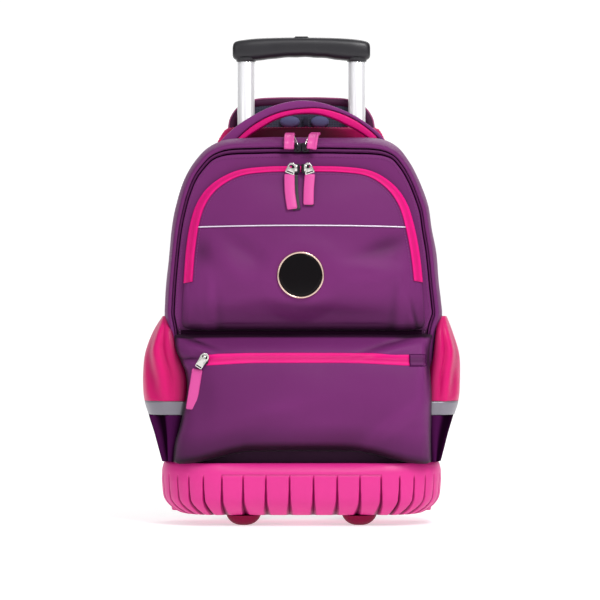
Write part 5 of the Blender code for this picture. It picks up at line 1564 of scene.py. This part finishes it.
def build_housing():
    """Magenta cloth box round the tubes, with holes where they leave it."""
    loop = outline(GUSSET_SECTIONS, GUSSET_FLOOR, GUSSET_CROWN)
    front = upright(inset(loop, HOUSING_WALL[0][1]), HOUSING_WALL[0][0])
    rows = [HOUSING_CENTRE + (front - HOUSING_CENTRE) * share for share in (0.04, 0.3, 0.6, 0.85, 0.94)]
    rows += [upright(inset(loop, distance), y) for y, distance in HOUSING_WALL]
    grid = np.array(rows)[::-1]
    # Painted shade on the top of the front wall, in the space between the carry handle and the padded back.
    shade = np.interp(grid[:, :, 2], (444.0, 450.0), (0.0, 0.9))
    shade *= np.interp(grid[:, :, 1], (37.0, 52.0), (1.0, 0.0))
    shade *= np.interp(grid[:, :, 0], (-96.0, -78.0, 22.0, 62.0, 96.0), (0.1, 1.0, 1.0, 0.5, 0.1))
    band = Form()
    band.cloth(grid, 1.2, around=True, shade=shade)
    housing = band.piece("tube_housing", "magenta_nylon", nodes=["rear_gusset"])
    bore(housing, [(sign * TUBE_X, TUBE_Y, GUSSET_CROWN) for _, sign in SIDES], TUBE_HOLE, 50.0)
    seams = Form()
    for y in HOUSING_SEAMS:
        seams.stitches(*closed_row(upright(inset(loop, -0.1), y), upright(outward(loop), 0.0)))
    seams.piece("housing_stitches", "magenta_thread", slot="magenta_nylon")


def pad_outline(pad, edges, sign):
    """Rounded outline of one pad of the back, which follows the panel's edge."""
    points = []
    for turn in ring_turns(72):
        across, up = squared(turn, 0.42)
        z = (pad.low + pad.high) / 2 + up * (pad.high - pad.low) / 2
        edge = np.interp(z, edges[:, 0], edges[:, 1]) - BACK_PAD_MARGIN
        inner = pad.inner if pad.inner > 0 else -edge
        points.append((sign * ((inner + edge) / 2 + across * (edge - inner) / 2), z))
    return resample(np.array(points[::sign]), 90, closed=True)


def build_straps():
    """Shoulder straps with bound edges, their buckles and webbing."""
    for side, sign in SIDES:
        stations = np.array([(sign * s.x, s.y, s.z, s.width, s.thickness) for s in STRAP_STATIONS])
        curve = resample(smooth_curve(stations), 70)
        strap = Form()
        sections = [oval(width - 4.5, thickness - 1.6, 28, 0.5) for width, thickness in curve[:, 3:]]
        strap.sweep(curve[:, :3], (1, 0, 0), sections.__getitem__)
        core = strap.piece(f"strap_{side}_pad", "navy_mesh", nodes=[f"shoulder_strap_{side}"])
        puffed(core, 0.9, voxel=3.6)
        tangents = np.gradient(curve[:, :3], axis=0)
        tangents /= np.linalg.norm(tangents, axis=1, keepdims=True)
        across = np.array([1.0, 0, 0]) - tangents * tangents[:, :1]
        across /= np.linalg.norm(across, axis=1, keepdims=True)
        normals = np.cross(tangents, across)
        normals *= np.sign(normals[:, 1:2])
        edging = Form()
        for edge in (-1, 1):
            rim = curve[:, :3] + across * edge * (curve[:, 3:4] / 2 - 2.0)
            edging.sweep(rim, (1, 0, 0), oval(4.0, 5.4, 16, 0.8))
            line = curve[:, :3] + across * edge * (curve[:, 3:4] / 2 - 6.5)
            edging.stitches(line + normals * (curve[:, 4:5] / 2 - 0.2), normals, slot=1)
        edging.piece(f"strap_{side}_edging", "navy_binding", "navy_thread", slot="navy_mesh")
        web = Form()
        for route, count in ((WEBBING_ROUTE, 40), (BUCKLE_LOOP, 20)):
            path = resample(smooth_curve([(sign * x, y, z) for x, y, z in route]), count)
            web.sweep(path, (1, 0, 0), oval(*WEBBING, 16, 0.35))
        web.piece(f"webbing_{side}", "dark_purple_nylon", nodes=[f"strap_webbing_{side}"])
        eased(f"strap_buckle_{side}", f"buckle_{side}", "black_plastic", 0.8)


def build_carry_handle():
    """Arched carry handle with its magenta underside."""
    middle = HANDLE_APEX - HANDLE_RADIUS
    trim = "magenta_zip_tape"
    layers = (
        ("carry_handle", HANDLE_SEAM, HANDLE_OUTER, ("handle_padding", "purple_thread"), "purple_nylon"),
        ("carry_handle_trim", HANDLE_INNER, HANDLE_SEAM, (trim, "magenta_thread"), trim),
    )
    for (name, low, high, finishes, slot), half, reach in zip(layers, HANDLE_HALF_WIDTHS, HANDLE_REACHES):
        padding = name == "carry_handle"
        turns = np.linspace(-reach, reach, 100)
        table = smooth_curve(list(zip(HANDLE_ANGLES, low, high)), steps=8)
        inner, outer = (np.interp(turns, table[:, 0], table[:, column]) for column in (1, 2))
        lower, upper = (inner + HANDLE_GAP, outer) if padding else (inner, outer - HANDLE_GAP)
        turns = np.radians(turns)
        out = np.stack([np.sin(turns), np.zeros(100), np.cos(turns)], axis=1)
        rings = []
        for ahead, start, end in zip(out, lower, upper):
            centre = np.array([0.0, HANDLE_Y, middle]) + ahead * (start + end) / 2
            section = oval(2 * half, end - start, 36, 0.34)
            rings.append([centre + (0.0, a, 0.0) + b * ahead for a, b in section])
        form = Form()
        form.loft(rings)
        for edge in (-1, 1) if padding else ():
            aside = (0, HANDLE_Y + edge * (half - 4.0), 0)
            line = [np.mean(ring, axis=0) * (1, 0, 1) + aside for ring in rings]
            rise = (outer - inner)[:, None] / 2 * 0.93
            form.stitches((np.array(line) + out * rise)[6:-6], out[6:-6], slot=1)
        made = form.piece(f"{name}_cloth", *finishes, nodes=[name], slot=slot)


def build_badge():
    """Round badge: a bright ring and a plain glossy disc."""
    centre = (BADGE_CENTRE[0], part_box("badge_ring")[1].y / MM, BADGE_CENTRE[1])
    inner = BADGE_RADIUS - BADGE_RIM
    profile = [(inner, 0), (inner, -1.9), (inner + 0.5, -2.5), (inner + 1.2, -2.8)]
    profile += [(BADGE_RADIUS - 0.5, -2.4), (BADGE_RADIUS, -1.6), (BADGE_RADIUS, 0)]
    ring = Form()
    ring.lathe(profile, centre, "Y", 128)
    ring.piece("badge_rim", "pale_gold", nodes=["badge_ring"], sharp=60)
    dome = [(inner - 0.2, 0), (inner - 0.2, -1.5), (inner - 1.0, -1.9)]
    for share in (0.9, 0.75, 0.55, 0.35, 0.15, 0.02):
        dome.append(((inner - 1.0) * share, -1.9 - 0.5 * (1 - share ** 2)))
    disc = Form()
    disc.lathe(dome, centre, "Y", 128, closed=False)
    disc.piece("badge_face", "black_enamel", nodes=["badge_disc"])


def pull_form(route):
    """Soft moulded pull along a route: a raised rim round a shallow panel, with rounded ends."""
    path = resample(smooth_curve(route), 40)
    travelled = lengths(path)

    def section(index):
        end = min(travelled[index], travelled[-1] - travelled[index])
        ease = math.sqrt(max(1 - max(1 - end / 1.6, 0.0) ** 2, 0.05))
        dish = 0.45 * min(max((end - 2.0) / 1.5, 0.0), 1.0)
        wide, thick = PULL_WIDTH / 2 * (0.8 + 0.2 * ease), PULL_THICKNESS / 2 * ease
        face = [(-1.0, -0.5), (-0.93, 0.6), (-0.8, 1.0), (-0.66, 0.98)]
        face += [(-0.56, 1.0 - dish), (0.0, 1.0 - dish * 0.9)]
        around = face + [(-x, y) for x, y in reversed(face[:-1])] + [(0.8, -1.0), (0.0, -1.0), (-0.8, -1.0)]
        return [(x * wide, y * thick) for x, y in around]

    form = Form()
    form.sweep(path, (-1, 0, 0), section)
    return form


def slider_form(centre, slot=0):
    """Zip slider: a shield-shaped body with a crown over it."""
    x, y, z = centre
    plan = resample(smooth_curve(np.array(SLIDER_SHIELD) * 0.82, closed=True, steps=5), 44, closed=True)
    layers = ((1.6, 0.9), (1.0, 1.0), (-0.6, 1.0), (-1.2, 0.92), (-1.5, 0.8))
    rings = [[(x + a * scale, y + lift, z + b * scale) for a, b in plan] for lift, scale in layers]
    form = Form()
    form.loft(rings, slot=slot)
    turns = np.radians(np.linspace(0, 180, 18))
    crown = [(x, y - 1.0 - 2.2 * math.sin(t) ** 0.7, z + 0.4 + 3.8 * math.cos(t)) for t in turns]
    form.sweep(crown, (1, 0, 0), oval(3.0, 1.2, 14))
    return form


def puller_plate(form, eye, foot, eye_radius, half_width, y):
    """Adds a flat metal link: round and pierced at the slider, and as wide as the pull at its foot."""
    eye, foot = np.array(eye), np.array(foot)
    down = (foot - eye) / np.linalg.norm(foot - eye)
    side = np.array([-down[1], down[0]])
    span = np.linalg.norm(foot - eye)
    half = [(0.0, -eye_radius), (eye_radius * 0.75, -eye_radius * 0.7), (eye_radius, 0.0)]
    half += [(half_width * 0.96, span * 0.62), (half_width, span - 0.8), (half_width - 0.8, span)]
    plan = np.array(half + [(-a, b) for a, b in reversed(half[1:])])
    fine = resample(np.vstack([plan, plan[:1]]), 240)[:-1]
    steps = np.linspace(-math.pi, math.pi, 64, endpoint=False)
    reach = polar_reach(steps, fine)
    wide, tall = eye_radius * 0.62, eye_radius * 0.34
    hole = 1.0 / np.sqrt((np.cos(steps) / wide) ** 2 + (np.sin(steps) / tall) ** 2)
    rings = []
    rims = ((reach, 0.7), (reach, -0.4), (reach - 0.5, -0.8), (hole + 0.3, -0.8), (hole, -0.4), (hole, 0.7))
    for radius, lift in rims:
        across, along = radius * np.cos(steps), radius * np.sin(steps)
        rings.append(upright(eye + across[:, None] * side + along[:, None] * down, y + lift))
    form.loft(rings, closed=True)
    slit = np.array([foot - down * 1.7 + side * half_width * share for share in (-0.72, 0.72)])
    section = [(-0.65, -0.15), (0.65, -0.15), (0.65, 0.15), (-0.65, 0.15)]
    form.sweep(upright(slit, y - 0.85), (0.0, 0.0, 1.0), section, slot=1)


def build_zip_pulls():
    """Sliders and pull tabs of the three zips."""
    face, lower = UpperFace(), LowerFace()
    for side, sign in SIDES:
        route = np.array(MAIN_PULLS[side], float)
        route[:, 1] -= 1.0
        zip_set(f"main_slider_{side}", f"main_pull_{side}", route)
        ends = [POCKET_RIM - float(face.depth(np.array(x), np.array(z))) for x, z in UPPER_PULLS[side]]
        lifts = np.linspace(ends[0] - 4.6, ends[-1] - 2.8, 3)
        route = [(x, y, z) for (x, z), y in zip(UPPER_PULLS[side], lifts)]
        zip_set(f"upper_slider_{side}", f"upper_pull_{side}", route)
    ends = [lower.at(x / 133.0, (z - 77.0) / (LOWER_CROWN - 77.0))[1] for x, z in LOWER_PULL]
    lifts = np.linspace(ends[0] - 3.8, min(ends) - 1.8, 3)
    zip_set("lower_slider", "lower_pull", [(x, y, z) for (x, z), y in zip(LOWER_PULL, lifts)])


def zip_set(slider, pull, route):
    """One slider with its pull, and the metal link between them."""
    low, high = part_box(slider)
    centre = np.array((low + high) / 2) / MM
    shift = SLIDER_SHIFTS[slider]
    centre += (shift[0], 0.0, shift[1])
    if slider in PULLERS:
        form = slider_form(centre, 1)
        eye, foot, eye_radius, half_width = PULLERS[slider]
        puller_plate(form, eye, foot, eye_radius, half_width, min(route[0][1], centre[1] - 2.0) - 0.4)
        form.piece(f"{slider}_metal", "bright_steel", "gunmetal", nodes=[slider], sharp=40)
    else:
        form = slider_form(centre)
        start = centre + (0.0, -2.6, 2.0)
        end = np.array((route[-3][0] * 0.62, route[-3][1] - 1.2, route[-3][2] - 2.0))
        side = np.array([0.0, 0.0, 1.4])
        link = smooth_curve([start - side, start + side, end + side, end - side], closed=True, steps=6)
        form.cord(resample(link, 40, closed=True), 0.6, slot=1, closed=True, across=(0, 1, 0))
        finishes = ("gunmetal", "bright_steel")
        form.piece(f"{slider}_metal", *finishes, nodes=[slider], slot="bright_steel", sharp=50)
    tab = pull_form(route)
    # A dark strip behind the pull stands in for its shadow: painted shadow.
    if pull in PULL_SHADOW_STRIPS:
        aside, behind = PULL_SHADOW_STRIPS[pull]
        path = resample(smooth_curve(np.array(route, float) + (aside, behind, -0.8)), 30)
        tab.sweep(path, (1, 0, 0), oval(PULL_WIDTH - 3.0, 1.6, 16, 0.4), slot=1)
    tab.piece(f"{pull}_tab", "pink_pull_tab", "black_plastic", nodes=[pull])


def area_light(name, place, target, size, power):
    """Soft light aimed at a point."""
    data = bpy.data.lights.new(name, "AREA")
    data.shape, data.size, data.size_y = "RECTANGLE", size[0], size[1]
    data.energy = power
    made = bpy.data.objects.new(name, data)
    made.location = place
    made.rotation_euler = (Vector(target) - Vector(place)).to_track_quat("-Z", "Y").to_euler()
    bpy.context.scene.collection.objects.link(made)


def build_stage():
    """Pale floor and backdrop, soft lights and the camera."""
    scene = bpy.context.scene
    bend = STAGE_REACH - STAGE_BEND
    profile = [(-STAGE_REACH, 0.0), (bend, 0.0)]
    for turn in np.linspace(0.1, math.pi / 2, 12):
        profile.append((bend + STAGE_BEND * math.sin(turn), STAGE_BEND - STAGE_BEND * math.cos(turn)))
    profile.append((STAGE_REACH, STAGE_REACH))
    mesh = bpy.data.meshes.new("studio_sweep")
    points = [(x * MM, y * MM, z * MM) for y, z in profile for x in (-STAGE_REACH, STAGE_REACH)]
    mesh.from_pydata(points, [], [(i, i + 1, i + 3, i + 2) for i in range(0, len(points) - 2, 2)])
    mesh.shade_smooth()
    white = (1.0, 1.0, 1.0, 1.0)
    glow = {"Emission_Color": white, "Emission_Strength": STAGE_GLOW}
    mesh.materials.append(plain_finish("look_stage", (0.6, 0.6, 0.6), Roughness=0.9, **glow))
    sweep = bpy.data.objects.new("studio_sweep", mesh)
    scene.collection.objects.link(sweep)
    scene.world = scene.world or bpy.data.worlds.new("studio")
    sky = Shader("studio", scene.world)
    ahead = sky.place(0)
    front = sky.math("MAXIMUM", sky.turned(ahead, (0.0, -1.0, 0.0)), 0.0)
    above = sky.math("MAXIMUM", sky.turned(ahead, (0.0, 0.0, 1.0)), 0.0)
    sky.fill(sky.surface.inputs["Strength"], front * SKY_FRONT + above * SKY_TOP + SKY_LEAST)
    sky.fill(sky.surface.inputs["Color"], white)
    for light in STUDIO_LIGHTS:
        area_light(*light)
    data = bpy.data.cameras.new("camera")
    data.sensor_width, data.lens = 36.0, CAMERA_LENS
    camera = bpy.data.objects.new("camera", data)
    camera.location = CAMERA_PLACE
    camera.rotation_euler = (math.radians(90.0), 0.0, 0.0)
    scene.collection.objects.link(camera)
    scene.camera = camera
    scene.view_settings.view_transform = "Standard"


class BACKPACK_OT_stage(bpy.types.Operator):
    """Builds the floor, lights and camera"""

    bl_idname = "backpack.stage"
    bl_label = "Stage"

    def execute(self, context):
        build_stage()
        return {"FINISHED"}


class BACKPACK_OT_body(bpy.types.Operator):
    """Builds the cloth tub, its front panel and the main zip"""

    bl_idname = "backpack.body"
    bl_label = "Main compartment"

    def execute(self, context):
        build_body()
        return {"FINISHED"}


class BACKPACK_OT_upper_pocket(bpy.types.Operator):
    """Builds the upper pocket with its zip and piping"""

    bl_idname = "backpack.upper_pocket"
    bl_label = "Upper pocket"

    def execute(self, context):
        build_upper_pocket()
        return {"FINISHED"}


class BACKPACK_OT_lower_pocket(bpy.types.Operator):
    """Builds the lower pocket with its zip and end tab"""

    bl_idname = "backpack.lower_pocket"
    bl_label = "Lower pocket"

    def execute(self, context):
        build_lower_pocket()
        return {"FINISHED"}


class BACKPACK_OT_side_pockets(bpy.types.Operator):
    """Builds the gathered side pockets with their reflective bands"""

    bl_idname = "backpack.side_pockets"
    bl_label = "Side pockets"

    def execute(self, context):
        build_side_pockets()
        return {"FINISHED"}


class BACKPACK_OT_base(bpy.types.Operator):
    """Builds the ribbed rubber base"""

    bl_idname = "backpack.base"
    bl_label = "Moulded base"

    def execute(self, context):
        build_base()
        return {"FINISHED"}


class BACKPACK_OT_wheels(bpy.types.Operator):
    """Builds the feet, wheels, hubs and axles"""

    bl_idname = "backpack.wheels"
    bl_label = "Feet and wheels"

    def execute(self, context):
        build_feet_and_wheels()
        return {"FINISHED"}


class BACKPACK_OT_trolley(bpy.types.Operator):
    """Builds the telescopic tubes, the grip and the wheel frame"""

    bl_idname = "backpack.trolley"
    bl_label = "Trolley"

    def execute(self, context):
        build_trolley()
        return {"FINISHED"}


class BACKPACK_OT_back(bpy.types.Operator):
    """Builds the tube housing, the padded back and the pads on it"""

    bl_idname = "backpack.back"
    bl_label = "Padded back"

    def execute(self, context):
        build_back()
        return {"FINISHED"}


class BACKPACK_OT_straps(bpy.types.Operator):
    """Builds the straps with their buckles and webbing"""

    bl_idname = "backpack.straps"
    bl_label = "Shoulder straps"

    def execute(self, context):
        build_straps()
        return {"FINISHED"}


class BACKPACK_OT_carry_handle(bpy.types.Operator):
    """Builds the arched carry handle and its trim"""

    bl_idname = "backpack.carry_handle"
    bl_label = "Carry handle"

    def execute(self, context):
        build_carry_handle()
        return {"FINISHED"}


class BACKPACK_OT_badge(bpy.types.Operator):
    """Builds the plain round badge"""

    bl_idname = "backpack.badge"
    bl_label = "Badge"

    def execute(self, context):
        build_badge()
        return {"FINISHED"}


class BACKPACK_OT_zip_pulls(bpy.types.Operator):
    """Builds the sliders and pull tabs of the three zips"""

    bl_idname = "backpack.zip_pulls"
    bl_label = "Zip pulls"

    def execute(self, context):
        build_zip_pulls()
        return {"FINISHED"}


OPERATORS = (
    BACKPACK_OT_stage,
    BACKPACK_OT_body,
    BACKPACK_OT_upper_pocket,
    BACKPACK_OT_lower_pocket,
    BACKPACK_OT_side_pockets,
    BACKPACK_OT_base,
    BACKPACK_OT_wheels,
    BACKPACK_OT_trolley,
    BACKPACK_OT_back,
    BACKPACK_OT_straps,
    BACKPACK_OT_carry_handle,
    BACKPACK_OT_badge,
    BACKPACK_OT_zip_pulls,
)


class BACKPACK_PT_panel(bpy.types.Panel):
    """Lists the backpack's settings and builders."""

    bl_label = "Wheeled Backpack"
    bl_idname = "BACKPACK_PT_panel"
    bl_space_type = "VIEW_3D"
    bl_region_type = "UI"
    bl_category = "Backpack"

    def draw(self, context):
        for group in (context.scene.backpack_colours, context.scene.backpack_sizes):
            for key in group.__annotations__:
                self.layout.prop(group, key)
        for each in OPERATORS:
            self.layout.operator(each.bl_idname)


CLASSES = (BackpackColours, BackpackSizes, *OPERATORS, BACKPACK_PT_panel)


def register():
    """Registers the classes and the scene's settings."""
    for each in CLASSES:
        bpy.utils.register_class(each)
    bpy.types.Scene.backpack_colours = PointerProperty(type=BackpackColours)
    bpy.types.Scene.backpack_sizes = PointerProperty(type=BackpackSizes)


def unregister():
    """Takes the classes and settings out again."""
    del bpy.types.Scene.backpack_colours
    del bpy.types.Scene.backpack_sizes
    for each in reversed(CLASSES):
        bpy.utils.unregister_class(each)


def main():
    """Builds everything in order."""
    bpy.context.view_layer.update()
    register()
    bpy.ops.backpack.stage()
    bpy.ops.backpack.body()
    bpy.ops.backpack.upper_pocket()
    bpy.ops.backpack.lower_pocket()
    bpy.ops.backpack.side_pockets()
    bpy.ops.backpack.base()
    bpy.ops.backpack.wheels()
    bpy.ops.backpack.trolley()
    bpy.ops.backpack.back()
    bpy.ops.backpack.straps()
    bpy.ops.backpack.carry_handle()
    bpy.ops.backpack.badge()
    bpy.ops.backpack.zip_pulls()


if __name__ == "__main__":
    main()
